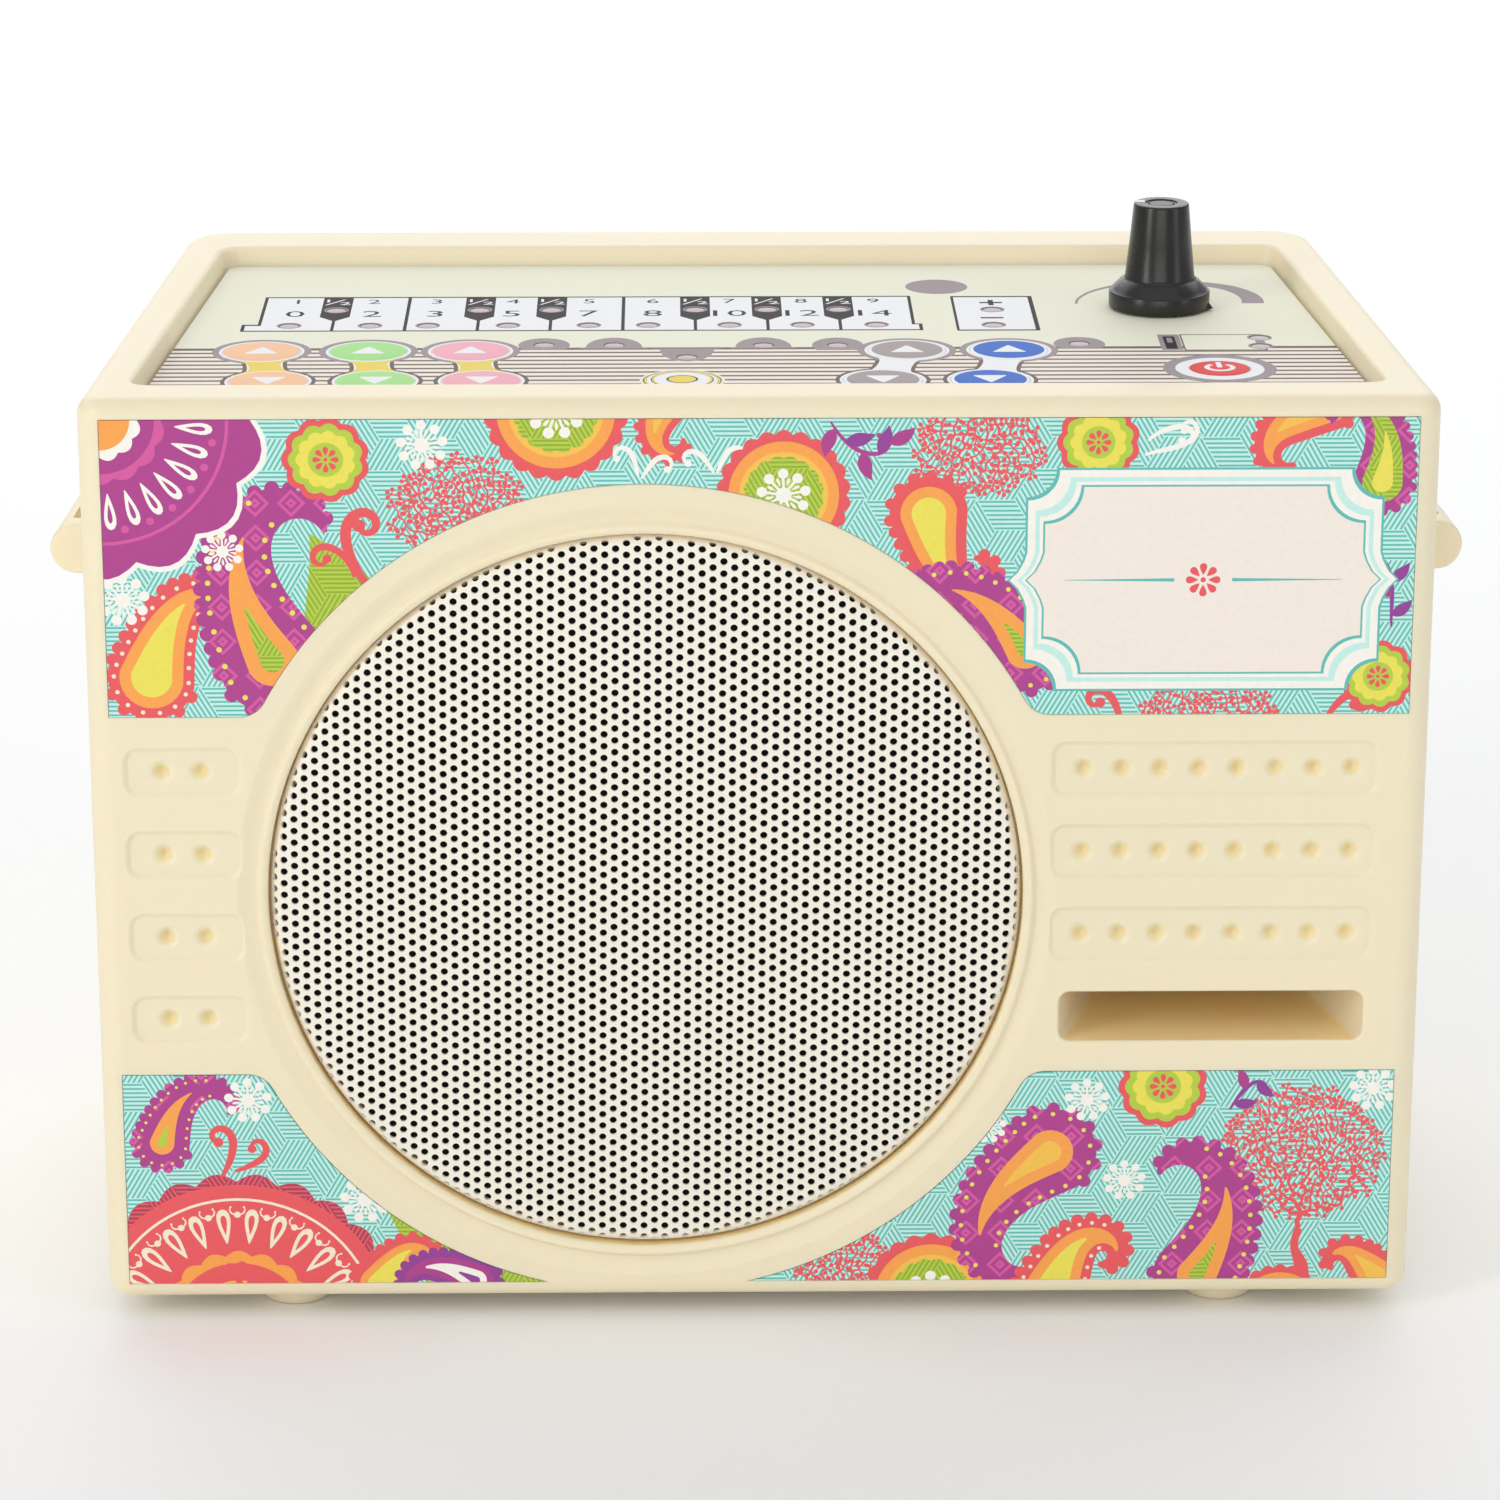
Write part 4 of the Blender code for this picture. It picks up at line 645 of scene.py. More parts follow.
def finish(name):
    """One of the object's materials, made when it is first asked for."""
    if name in made_materials:
        return made_materials[name]
    colours = bpy.context.scene.tanpura_colours
    hexes = {
        "ink_white": "#F7F4EC", "ink_lime": "#B4CF3E", "ink_lime_dark": "#90AD2C", "ink_yellow": "#ECE055",
        "ink_amber": "#F6C24C", "ink_orange": "#F9A34A", "ink_purple": "#923A97", "ink_pink": "#D4559F",
        "ink_maroon": "#A83A5C", "ink_cream": "#F5E9D0", "ink_plate": "#F3E9DF",
        "print_white": "#F3F4F6", "print_black": "#2B282A", "print_stripe": "#74655F", "print_ground": "#F6ECE0",
        "print_grey": "#A3979A", "print_amber": "#F0D864",
    }
    if name == "case":
        # ABS, injection moulded in a fine spark-eroded mould: an even cream with a soft, wide sheen.
        made = surface("ABS, spark-eroded mould", tuple(colours.case), drift=0.012, mottle=60.0, grain=0.35,
                       rise=0.004, roughness=0.42, spread=0.04, IOR=1.54, Subsurface_Weight=0.3,
                       Subsurface_Radius=(1.0, 0.6, 0.25), Subsurface_Scale=0.003)
    elif name == "case_core":
        # The same ABS, painted warmer and brighter where it is shaded: a painted glow inside the sound port, and
        # painted amber shade in the dimples and on the grille seat's wall.
        made = surface("ABS, draw-polished core", linear("#FFE2AC"), drift=0.03, mottle=9.0, grain=0.8, rise=0.006,
                       roughness=0.38, spread=0.04, IOR=1.54, Subsurface_Weight=0.4,
                       Subsurface_Radius=(1.0, 0.55, 0.2), Subsurface_Scale=0.004)
    elif name == "case_rubber":
        # Thermoplastic rubber feet: the case's cream, duller, as the soft surface scatters the light.
        made = surface("Thermoplastic rubber, moulded", linear("#EADDBF"), drift=0.03, mottle=8.0, grain=0.4,
                       rise=0.012, roughness=0.7, IOR=1.52)
    elif name == "grille":
        # Steel sheet, punched and powder coated: off-white with the coat's faint orange peel.
        made = surface("Punched steel, powder coated", tuple(colours.grille), drift=0.02, mottle=18.0, grain=0.8,
                       rise=0.01, roughness=0.4, spread=0.05, IOR=1.5)
    elif name == "cloth":
        # Woven black speaker cloth, threads 0.5 mm apart: swallows the light behind the grille.
        made = surface("Polyester cloth, woven", linear("#0B0B0C"), drift=0.3, mottle=0.5, grain=0.5, rise=0.08,
                       roughness=0.92, spread=0.04, Sheen_Weight=0.1)
    elif name == "film":
        # Polyester film with a fine matt face, printed from behind: flat, pale and barely glossy.
        made = surface("Polyester film, matt face", tuple(colours.film), drift=0.012, mottle=30.0, grain=0.15,
                       rise=0.002, roughness=0.6, spread=0.04, IOR=1.57, Specular_IOR_Level=0.12)
    elif name == "knob":
        # ABS from a polished mould: black with a soft, clear highlight down each side.
        made = surface("ABS, polished mould", tuple(colours.knob), drift=0.1, mottle=4.0, grain=0.7, rise=0.002,
                       roughness=0.28, spread=0.04, IOR=1.54, Specular_IOR_Level=0.45)
    elif name == "knob_cap":
        # The knob's inset cap, matt from its own mould.
        made = surface("ABS, matt mould", linear("#6B5F63"), drift=0.08, mottle=2.0, grain=0.3, rise=0.006,
                       roughness=0.45, IOR=1.54)
    elif name == "lamp":
        # Tinted polycarbonate, moulded: a dusky mauve dot with a small wet highlight.
        made = surface("Polycarbonate, tinted", tuple(colours.lamp), drift=0.06, mottle=1.2, grain=0.5, rise=0.002,
                       roughness=0.22, spread=0.04, IOR=1.585, Coat_Weight=0.3, Coat_Roughness=0.1)
    elif name == "zinc":
        # Steel screws, zinc plated: bright grey with a slight haze.
        made = surface("Steel, zinc plated", linear("#B9BCC0"), drift=0.08, mottle=1.5, grain=0.3, rise=0.004,
                       roughness=0.32, spread=0.06, Metallic=1.0)
    elif name == "aluminium":
        # Extruded aluminium: pale, with fine draw lines.
        made = surface("Aluminium, extruded", linear("#C9CBCE"), drift=0.05, mottle=3.0, grain=0.25, rise=0.006,
                       roughness=0.38, spread=0.08, Metallic=1.0)
    elif name == "board":
        # Glass-epoxy board under green solder mask: deep green, glossy.
        made = surface("Glass epoxy, solder mask", linear("#1E5B34"), drift=0.12, mottle=3.0, grain=0.6, rise=0.01,
                       roughness=0.3, IOR=1.55)
    elif name == "basket":
        # Pressed steel, black enamel: dark with a low sheen.
        made = surface("Pressed steel, black enamel", linear("#26272A"), drift=0.1, mottle=10.0, grain=1.0,
                       rise=0.01, roughness=0.4, IOR=1.5)
    elif name == "paper":
        # Pulped paper cone: matt charcoal with fibres about half a millimetre long.
        made = surface("Pulp paper, pressed", linear("#2A2A2C"), drift=0.25, mottle=2.0, grain=0.5, rise=0.05,
                       roughness=0.9)
    elif name == "ferrite":
        # Sintered ferrite: dull dark grey, slightly grainy.
        made = surface("Ferrite, sintered", linear("#3A3B3E"), drift=0.1, mottle=3.0, grain=0.4, rise=0.02,
                       roughness=0.7)
    elif name == "socket":
        # Glass-filled nylon: black with a dry sheen.
        made = surface("Nylon, glass filled", linear("#1A1A1B"), drift=0.15, mottle=2.0, grain=0.3, rise=0.008,
                       roughness=0.5, IOR=1.53)
    elif name == "brass":
        # Nickel-plated contacts inside the sockets.
        made = surface("Brass, nickel plated", linear("#C8C2B4"), drift=0.05, mottle=1.0, grain=0.2, rise=0.003,
                       roughness=0.25, Metallic=1.0)
    elif name == "wrap":
        # Heat-shrunk vinyl around the cells: blue, glossy, faintly rippled.
        made = surface("Vinyl sleeve, heat shrunk", linear("#2F5FA8"), drift=0.08, mottle=6.0, grain=2.0,
                       rise=0.03, roughness=0.3, IOR=1.53)
    elif name == "lead":
        # Soft vinyl insulation on the leads: dull red.
        made = surface("Vinyl insulation, extruded", linear("#8E2A26"), drift=0.08, mottle=3.0, grain=0.6,
                       rise=0.01, roughness=0.45, IOR=1.53)
    elif name.startswith("key_"):
        # Polyester film embossed into key domes, ink behind it: clear colour under a matt skin.
        made = surface("Polyester film, embossed " + name[4:], tuple(getattr(colours, name[4:])), drift=0.025,
                       mottle=5.0, grain=0.15, rise=0.002, roughness=0.55, spread=0.04, IOR=1.57,
                       Specular_IOR_Level=0.15)
    elif name in ("ink_mint", "ink_teal", "ink_coral", "ink_magenta"):
        # Offset ink on vinyl under a clear laminate: bright, with fine printing mottle and a smooth gloss.
        made = surface("Laminated vinyl, " + name[4:] + " ink", tuple(getattr(colours, name[4:])), drift=0.035,
                       mottle=0.9, grain=1.6, rise=0.003, roughness=0.33, spread=0.04, IOR=1.5)
    elif name.startswith("ink_"):
        # The labels' other inks, on the same laminated vinyl.
        made = surface("Laminated vinyl, " + name[4:] + " ink", linear(hexes[name]), drift=0.035, mottle=0.9,
                       grain=1.6, rise=0.003, roughness=0.33, spread=0.04, IOR=1.5)
    else:
        # Screen ink behind the panel's matt film: solid colour, same sheen as the film around it.
        made = surface("Polyester film, " + name[6:] + " ink", linear(hexes[name]), drift=0.025, mottle=2.5,
                       grain=0.15, rise=0.002, roughness=0.6, spread=0.04, IOR=1.57, Specular_IOR_Level=0.12)
    made_materials[name] = made
    return made


def dress(node, *names):
    """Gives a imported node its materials."""
    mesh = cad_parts[node].data
    mesh.materials.clear()
    for name in names:
        mesh.materials.append(finish(name))


# Case


def case_body():
    """The case's outer form, with all its edges rounded."""
    rings = []
    steps = 8
    for step in range(steps + 1):
        turn = math.pi / 2 * step / steps
        inset = EDGE_ROUND * (1 - math.sin(turn))
        rings.append((inset, EDGE_ROUND * (1 - math.cos(turn))))
    rings += [(inset, HEIGHT - height) for inset, height in rings[::-1]]
    steps = [(case_outline(inset, inset, DEPTH - inset, FRONT_CORNER - inset, REAR_CORNER - inset, 12), height)
             for inset, height in rings]
    return loft("main_case_shell", level_rings(steps), [finish("case")])


def port_rings(grow, near, far, lip):
    """Rings of the tapering sound port, or of its outer block."""
    def mouth(share, extra):
        width = PORT_MOUTH[0] + (PORT_THROAT[0] - PORT_MOUTH[0]) * share + 2 * (grow + extra)
        tall = PORT_MOUTH[1] + (PORT_THROAT[1] - PORT_MOUTH[1]) * share + 2 * (grow + extra)
        return rectangle(width, tall, 2.0 + grow + extra + 0.9 * share, (PORT_X, PORT_Z), 8)
    rings = []
    if lip > 0.0:
        rings = [(mouth(0.0, extra), depth) for depth, extra in pocket(lip, 1.0)[:-1]]
    else:
        rings = [(mouth(near / PORT_LENGTH, 0.0), near)]
    rings += [(mouth(depth / PORT_LENGTH, 0.0), depth) for depth in (PORT_LENGTH * 0.33, PORT_LENGTH * 0.66)]
    return upright_rings(rings + [(mouth(far / PORT_LENGTH, 0.0), far)])


def seat_profile(bead):
    """Radius and distance forward of the grille's seat: a rounded bead stands around it, out of a soft hollow."""
    edge = GRILLE_RADIUS + 0.35
    crest, foot, far = edge + bead * 1.1, edge + bead * 1.9, FIELD_ARC - 3.2
    low, high = -0.85, -0.03
    points = [(0.0, 2.0), (far, 2.0), (far, 0.03)]
    for step in range(1, 9):
        t = step / 8
        points.append((far + (foot + 0.3 - far) * t, low * t * t * (3.0 - 2.0 * t)))
    for step in range(9):
        t = step / 8
        points.append((foot + (crest - foot) * t, low + (high - low) * (1.0 - math.cos(math.pi * t)) / 2))
    for step in range(1, 7):
        turn = math.pi / 2 * step / 6
        points.append((crest + (edge - crest) * math.sin(turn), high - 0.9 * (1.0 - math.cos(turn))))
    return points + [(edge, -SEAT_DEPTH), (MOUTH_RADIUS, -SEAT_DEPTH), (MOUTH_RADIUS, -BOSS_DEPTH - 1.0),
                     (0.0, -BOSS_DEPTH - 1.0)]


def bar_cutters(lip):
    """Cutters of the shallow moulded bars beside the grille."""
    made = []
    for row, height in enumerate(BAR_HEIGHTS):
        for left, right, tall in (LEFT_BAR, RIGHT_BAR)[:2 if row < 3 else 1]:
            rings = []
            for depth, grow in ((-2.0, lip), (-0.01, lip), (BAR_DEPTH * 0.12, lip * 0.55), (BAR_DEPTH * 0.5, 0.0),
                                (BAR_DEPTH * 0.88, -lip * 0.55), (BAR_DEPTH, -lip)):
                outline = rectangle(right - left + 2 * grow, tall + 2 * grow, 2.4 + grow,
                                    ((left + right) / 2, height), 8)
                rings.append((outline, depth))
            made.append(loft("bar", upright_rings(rings)))
    return joined("bars", made)


def dimple_cutters(radius, depth):
    """Cutters of the round dimples in the bars."""
    made = []
    for row, height in enumerate(BAR_HEIGHTS):
        for x in LEFT_DIMPLES + (RIGHT_DIMPLES if row < 3 else ()):
            profile = [(0.0, 1.0 - BAR_DEPTH), (radius, 1.0 - BAR_DEPTH), (radius, 0.02 - BAR_DEPTH)]
            for step in range(11):
                share = 0.98 * (1.0 - step / 10)
                profile.append((radius * share, -BAR_DEPTH - depth * (1.0 + math.cos(math.pi * share)) / 2))
            made.append(turned("dimple", profile, (x, 0.0, height), 24, facing="front"))
    return joined("dimples", made)


def field_cutters(lip):
    """Cutters of the shallow fields that hold the labels."""
    made = []
    for outline in (upper_field, lambda shrink: lower_field(-1, shrink), lambda shrink: lower_field(1, shrink)):
        rings = [(outline(-grow), depth) for depth, grow in pocket(lip, FIELD_DEPTH)]
        made.append(loft("field", upright_rings(rings)))
    return joined("fields", made)


class TANPURA_OT_case(bpy.types.Operator):
    """Builds the moulded case with its label fields, bars, dimples, speaker ring and sound port."""

    bl_idname = "tanpura.case"
    bl_label = "Moulded case"

    def execute(self, context):
        """Lofts the case's body and carves its openings."""
        sizes = context.scene.tanpura_sizes
        lip = sizes.lip / MM
        case = case_body()
        cavity = loft("cavity", level_rings([
            (case_outline(WALL, WALL, DEPTH - WALL, 2.5, REAR_CORNER - WALL), height)
            for height in (WALL, CAVITY_TOP)]))
        boss = turned("boss", [(0.0, -1.5), (BOSS_RADIUS, -1.5), (BOSS_RADIUS, -BOSS_DEPTH), (0.0, -BOSS_DEPTH)],
                      (SPEAKER_X, 0.0, SPEAKER_Z), 96, facing="front")
        block = loft("port_block", port_rings(PORT_WALL, 1.5, PORT_LENGTH, 0.0))
        opening = loft("opening", level_rings([
            (panel_outline(LEDGE_WIDTH), CAVITY_TOP - 1.0), (panel_outline(LEDGE_WIDTH), LEDGE_TOP + 1.0)]))
        rim = sizes.rim_lip / MM
        wall = [(panel_outline(-GAP), LEDGE_TOP)]
        spread = RECESS_SPREAD + GAP
        for deep, grow in pocket(rim, 1.0)[-2::-1]:
            outward = spread + grow - RECESS_SPREAD * max(deep, 0.0) / (HEIGHT - LEDGE_TOP)
            wall.append((panel_outline(-outward, PANEL_CORNER + outward * 0.5), HEIGHT - deep))
        recess = loft("recess", level_rings(wall))
        seat = turned("seat", seat_profile(sizes.ring_round / MM), (SPEAKER_X, 0.0, SPEAKER_Z), 160, facing="front")
        channel = loft("channel", port_rings(0.0, -2.0, PORT_LENGTH + 3.0, lip))
        middle = (0.0, sum(COVER) / 2)
        tall = COVER[1] - COVER[0]
        near = DEPTH - COVER_THICK - GAP

        def slab_between(name, width, height, depths):
            """A rounded plate facing the rear."""
            return loft(name, upright_rings([(rectangle(width, height, 4.0, middle), depth) for depth in depths]))

        tools = [
            (cavity, "DIFFERENCE"), (boss, "UNION"), (block, "UNION"), (opening, "DIFFERENCE"),
            (recess, "DIFFERENCE"), (seat, "DIFFERENCE"), (channel, "DIFFERENCE"),
            (field_cutters(lip * 0.6), "DIFFERENCE"), (bar_cutters(lip * 1.2), "DIFFERENCE"),
            (dimple_cutters(sizes.dimple / MM, sizes.dimple_depth / MM), "DIFFERENCE"),
            (slab_between("rear_frame", 2 * COVER_HALF + 6.0, tall + 6.0, (near - 2.4, DEPTH - 1.6)), "UNION"),
            (slab_between("rabbet", 2 * (COVER_HALF + GAP), tall + 2 * GAP, (near, DEPTH + 1.0)), "DIFFERENCE"),
            (slab_between("rear_opening", 2 * (COVER_HALF - 9.0), tall - 18.0, (near - 9.0, DEPTH + 1.0)),
             "DIFFERENCE"),
        ]
        carve(case, tools)
        # Painted light: the sound port's walls get a brighter, warmer painted glow, and the dimples and the grille
        # seat's wall and floor get painted amber shade, from the case's second material.
        case.data.materials.append(finish("case_core"))
        for polygon in case.data.polygons:
            x, y, z = polygon.center
            depth, height = (y - CASE_LOW.y) / MM, (z - CASE_LOW.z) / MM
            in_port = abs(x / MM - PORT_X) < 27.4 and abs(height - PORT_Z) < 5.0 and 0.7 < depth < PORT_LENGTH + 0.5
            away = math.hypot(x / MM - SPEAKER_X, height - SPEAKER_Z)
            in_seat = 0.6 < depth < SEAT_DEPTH + 0.1 and away < GRILLE_RADIUS + 0.6
            in_dimple = (BAR_DEPTH + 0.4 * sizes.dimple_depth / MM < depth < 3.0 and away > 70.0 and abs(x / MM) < 107.5
                         and 50.0 < height < 104.0)
            if in_port and abs(polygon.normal.x) < 0.6 or in_dimple or in_seat:
                polygon.material_index = 1
        keep(case, "case", "cream_plastic", "main_case")
        return {"FINISHED"}


# Grille


class TANPURA_OT_grille(bpy.types.Operator):
    """Builds the perforated grille, slightly crowned, whose holes run on over its rolled rim."""

    bl_idname = "tanpura.grille"
    bl_label = "Speaker grille"

    def execute(self, context):
        """Cuts the holes out of a flat blank, then bends it over its crown and its rim."""
        sizes = context.scene.tanpura_sizes
        hole, pitch, sheet = sizes.hole / MM / 2, sizes.hole_pitch / MM, sizes.sheet / MM
        roll = sizes.roll / MM
        flat = GRILLE_RADIUS - roll
        blank = flat + roll * math.pi / 2
        column = pitch * math.sqrt(3.0) / 2
        count = int(blank / column) + 1
        lean = math.radians(-0.6)
        holes = []
        for across in range(-count, count + 1):
            for up in range(-count - 1, count + 2):
                x, z = across * column, (up + 0.5 * (across % 2)) * pitch
                x, z = x * math.cos(lean) - z * math.sin(lean), x * math.sin(lean) + z * math.cos(lean)
                if math.hypot(x, z) < blank - hole - sizes.plain_rim / MM:
                    holes.append(("hole", circle(SPEAKER_X + x, SPEAKER_Z + z, hole, 12)))
        bends = [("ground", circle(SPEAKER_X, SPEAKER_Z, flat + roll * math.pi / 2 * share, 180))
                 for share in (0.83, 0.66, 0.5, 0.33, 0.17, 0.0)]
        outline = circle(SPEAKER_X, SPEAKER_Z, blank, 180)
        points, triangles, inks = drawing(outline, bends + holes)

        def bent(x, z, inward):
            """A point of the blank on the bent sheet, on its front or so far inside it."""
            out = math.hypot(x - SPEAKER_X, z - SPEAKER_Z)
            turn = max(out - flat, 0.0) / roll
            reach = min(out, flat) + (roll - inward) * math.sin(turn)
            back = inward + (roll - inward) * (1.0 - math.cos(turn)) + CROWN * (min(out, flat) / GRILLE_RADIUS) ** 2
            share = reach / out if out > 0.0 else 0.0
            return place(SPEAKER_X + (x - SPEAKER_X) * share, back, SPEAKER_Z + (z - SPEAKER_Z) * share)

        face = slab("grille_face", points, triangles, [0] * len(inks), lambda x, z: bent(x, z, 0.0),
                    lambda x, z: bent(x, z, sheet), [finish("grille")], 40.0)
        low = -CROWN * (flat / GRILLE_RADIUS) ** 2 - roll
        skirt = turned("grille_rim", [(GRILLE_RADIUS, low + 0.02), (GRILLE_RADIUS, -SEAT_DEPTH + GAP),
                                      (GRILLE_RADIUS - sheet, -SEAT_DEPTH + GAP), (GRILLE_RADIUS - sheet, low + 0.02)],
                       (SPEAKER_X, 0.0, SPEAKER_Z), 180, [finish("grille")], "front", True)
        grille = joined("speaker_grille_sheet", [face, skirt])
        keep(grille, "case", "painted_steel", "speaker_grille")
        dress("grille_cloth", "cloth")
        return {"FINISHED"}


# Labels


def scalloped(x, y, radius, lobes, depth, steps=7):
    """A round outline whose edge is a row of lobes."""
    points = []
    for index in range(lobes * steps):
        turn = math.tau * index / (lobes * steps)
        reach = radius - depth * (1.0 - abs(math.sin(lobes * turn / 2)))
        points.append((x + reach * math.cos(turn), y + reach * math.sin(turn)))
    return points


def petal(x, y, start, length, width, turn):
    """A drop that starts off the centre and grows outwards."""
    shape = []
    for step in range(16):
        t = math.tau * step / 16
        along = start + length * (0.5 - 0.5 * math.cos(t))
        across = width / 2 * math.sin(t) * (0.6 - 0.4 * math.cos(t))
        shape.append((x + along * math.cos(turn) - across * math.sin(turn),
                      y + along * math.sin(turn) + across * math.cos(turn)))
    return shape


def floret(ink, x, y, radius, count=8):
    """A ring of petals around a dot."""
    art = [(ink, petal(x, y, radius * 0.3, radius * 0.7, radius * 0.62, math.tau * index / count))
           for index in range(count)]
    return art + [(ink, circle(x, y, radius * 0.16, 10))]


def starflower(x, y, radius, count=9):
    """A white flower of stalks that end in round dots."""
    art = [("white", circle(x, y, radius * 0.3, 14)), ("mint", circle(x, y, radius * 0.13, 10))]
    for index in range(count):
        turn = math.tau * index / count + 0.2
        tip = (x + radius * 0.82 * math.cos(turn), y + radius * 0.82 * math.sin(turn))
        art.append(("white", stroke([(x, y), tip], lambda t: radius * 0.1)))
        art.append(("white", circle(tip[0], tip[1], radius * 0.2, 12)))
        turn += math.pi / count
        art.append(("white", petal(x, y, radius * 0.34, radius * 0.34, radius * 0.17, turn)))
    return art


def rosette(x, y, radius, lobes=11):
    """A scalloped flower of rings in coral, lime and yellow."""
    art = [("coral", scalloped(x, y, radius, lobes, radius * 0.09)),
           ("lime_plain", scalloped(x, y, radius * 0.85, lobes, radius * 0.09)),
           ("yellow", scalloped(x, y, radius * 0.68, lobes, radius * 0.08)),
           ("lime_plain", circle(x, y, radius * 0.4, 32))]
    return art + floret("coral", x, y, radius * 0.3, 8)


def fan(x, y, radius):
    """A scalloped wheel of rings, as seen on printed cotton, to be cut by a label's edge."""
    art = [("coral", scalloped(x, y, radius, 22, radius * 0.07)), ("orange", circle(x, y, radius * 0.82, 48)),
           ("amber", circle(x, y, radius * 0.66, 48)), ("lime", scalloped(x, y, radius * 0.6, 16, radius * 0.04))]
    return art + starflower(x, y, radius * 0.4)


def flow(x, y, heading, *bends):
    """A path that leaves a point at a heading in degrees, then bends on: length, first and last bend a mm."""
    path, turn = [Vector((x, y))], math.radians(heading)
    for length, first, last in bends:
        steps = max(round(length / 0.7), 4)
        for step in range(steps):
            turn += (first + (last - first) * (step + 0.5) / steps) * length / steps
            path.append(path[-1] + Vector((math.cos(turn), math.sin(turn))) * length / steps)
    return path


def vine(ink, path, width, root=0.35):
    """A stem that swells towards its curled end and stops in a ball."""
    end = path[-1]
    return [(ink, stroke(path, lambda t: width * (root + (1.0 - root) * math.sin(math.pi * min(t * 0.9 + 0.05, 1.0))))),
            (ink, circle(end.x, end.y, width * 0.62, 12))]


def brushed(path, girth, inset):
    """Left edge, right edge and round head of a drop that tapers along a path."""
    left, right = [], []
    last = len(path) - 1
    for index, point in enumerate(path):
        half = girth * (1.0 - index / last) ** 0.8 - inset
        if half < 0.06:
            break
        along = (path[min(index + 1, last)] - path[max(index - 1, 0)]).normalized()
        left.append((point.x - along.y * half, point.y + along.x * half))
        right.append((point.x + along.y * half, point.y - along.x * half))
    heading = math.degrees(math.atan2(path[1].y - path[0].y, path[1].x - path[0].x))
    return left, right, arc(path[0], girth - inset, heading - 90.0, heading - 270.0, 14)[1:-1]


def drop(path, girth, inks, ring, bead=0.0, hand=0, dots=None):
    """A curled drop in rings of inks from the outside in, with beads along the edge on one hand."""
    left, right, head = brushed(path, girth, 0.0)
    art = []
    if bead > 0.0:
        edge = right[::-1] + head if hand > 0 else left[::-1] + head[::-1]
        gone = 0.0
        for (ax, ay), (bx, by) in zip(edge, edge[1:]):
            gone += math.hypot(bx - ax, by - ay)
            if gone > bead * 1.75:
                gone = 0.0
                art.append((inks[0], circle(bx, by, bead, 12)))
    for level, ink in enumerate(inks):
        left, right, head = brushed(path, girth, ring * level)
        if len(left) > 3:
            art.append((ink, left + right[::-1] + head))
    if dots:
        left, right, head = brushed(path, girth, ring * 0.52)
        edge = left[:int(len(left) * 0.8)][::-1] + head[::-1] + right[:int(len(right) * 0.8)]
        gone = 0.0
        for (ax, ay), (bx, by) in zip(edge, edge[1:]):
            gone += math.hypot(bx - ax, by - ay)
            if gone > ring * 1.05:
                gone = 0.0
                art.append((dots, circle(bx, by, ring * 0.2, 8)))
    return art


def boteh(x, y, heading, size, hand, inks, bead=0.0, ring=None, dots=None):
    """A drop whose tip curls over, as on printed shawls."""
    path = flow(x, y, heading, (size * 0.8, 0.0, hand * 1.4 / size), (size, hand * 1.4 / size, hand * 4.6 / size))
    return drop(path, size * 0.4, inks, ring or size * 0.09, bead, hand, dots)


def leaf(ink, x, y, length, width, heading, vein=None):
    """A pointed leaf, with a vein if one is asked for."""
    path = flow(x, y, heading, (length, 0.0, 0.9 / length))
    art = [(ink, stroke(path, lambda t: width * math.sin(math.pi * t ** 0.8)))]
    if vein:
        art.append((vein, stroke(path[1:-2], lambda t: width * 0.16 * (1 - t) + 0.06)))
    return art


def branch(inks, path, size, count, width=0.8):
    """A stem with leaves on both sides."""
    art = vine(inks[0], path, width)
    for index in range(count):
        at = int((index + 0.6) / (count + 0.4) * (len(path) - 1))
        along = path[min(at + 1, len(path) - 1)] - path[at - 1]
        heading = math.degrees(math.atan2(along.y, along.x)) + (48.0 if index % 2 else -62.0)
        art += leaf(inks[index % len(inks)], path[at].x, path[at].y, size, size * 0.46, heading)
    return art


def tree(x, y, wide, tall, count, root, trunk=0.0):
    """A round crown of fine twigs with berries, grown twig by twig from its root."""
    root = Vector(root)
    spots = []
    for index in range(count):
        turn, reach = index * 2.39996, math.sqrt((index + 0.5) / count)
        wobble = 0.4 * math.sin(index * 5.3)
        spots.append(Vector((x + (wide * reach + wobble) * math.cos(turn), y + (tall * reach + wobble) * math.sin(turn))))
    spots.sort(key=lambda spot: (spot - root).length)
    grown, parents = [root], [0]
    for spot in spots:
        parents.append(min(range(len(grown)), key=lambda k: (grown[k] - spot).length + 0.3 * (grown[k] - root).length))
        grown.append(spot)
    loads = [1] * len(grown)
    for index in range(len(grown) - 1, 0, -1):
        loads[parents[index]] += loads[index]
    art = []
    for index in range(1, len(grown)):
        tip, foot = grown[index], grown[parents[index]]
        side = Vector((foot.y - tip.y, tip.x - foot.x)) * (0.16 if index % 2 else -0.16)
        thick = 0.24 + 0.055 * math.sqrt(loads[index])
        if parents[index] > 0 or trunk > 0.0:
            art.append(("coral", stroke([foot, (foot + tip) / 2 + side, tip], lambda t: thick)))
        lean = math.atan2(tip.y - foot.y, tip.x - foot.x)
        for fork in (-1.15, 0.0, 1.15) if loads[index] < 3 else (-1.5, 1.5):
            berry = tip + Vector((math.cos(lean + fork), math.sin(lean + fork))) * 0.9
            art.append(("coral", stroke([tip, berry], lambda t: 0.24)))
            art.append(("coral", circle(berry.x, berry.y, 0.42, 7)))
    if trunk > 0.0:
        foot = Vector((root.x, root.y - tall * 0.9))
        path = [foot, foot + Vector((trunk * 0.3, tall * 0.3)), foot + Vector((-trunk * 0.25, tall * 0.62)), root]
        art.append(("coral", stroke(curve_through(path), lambda t: trunk * (1.7 - 1.1 * min(t * 1.6, 1.0)))))
    return art


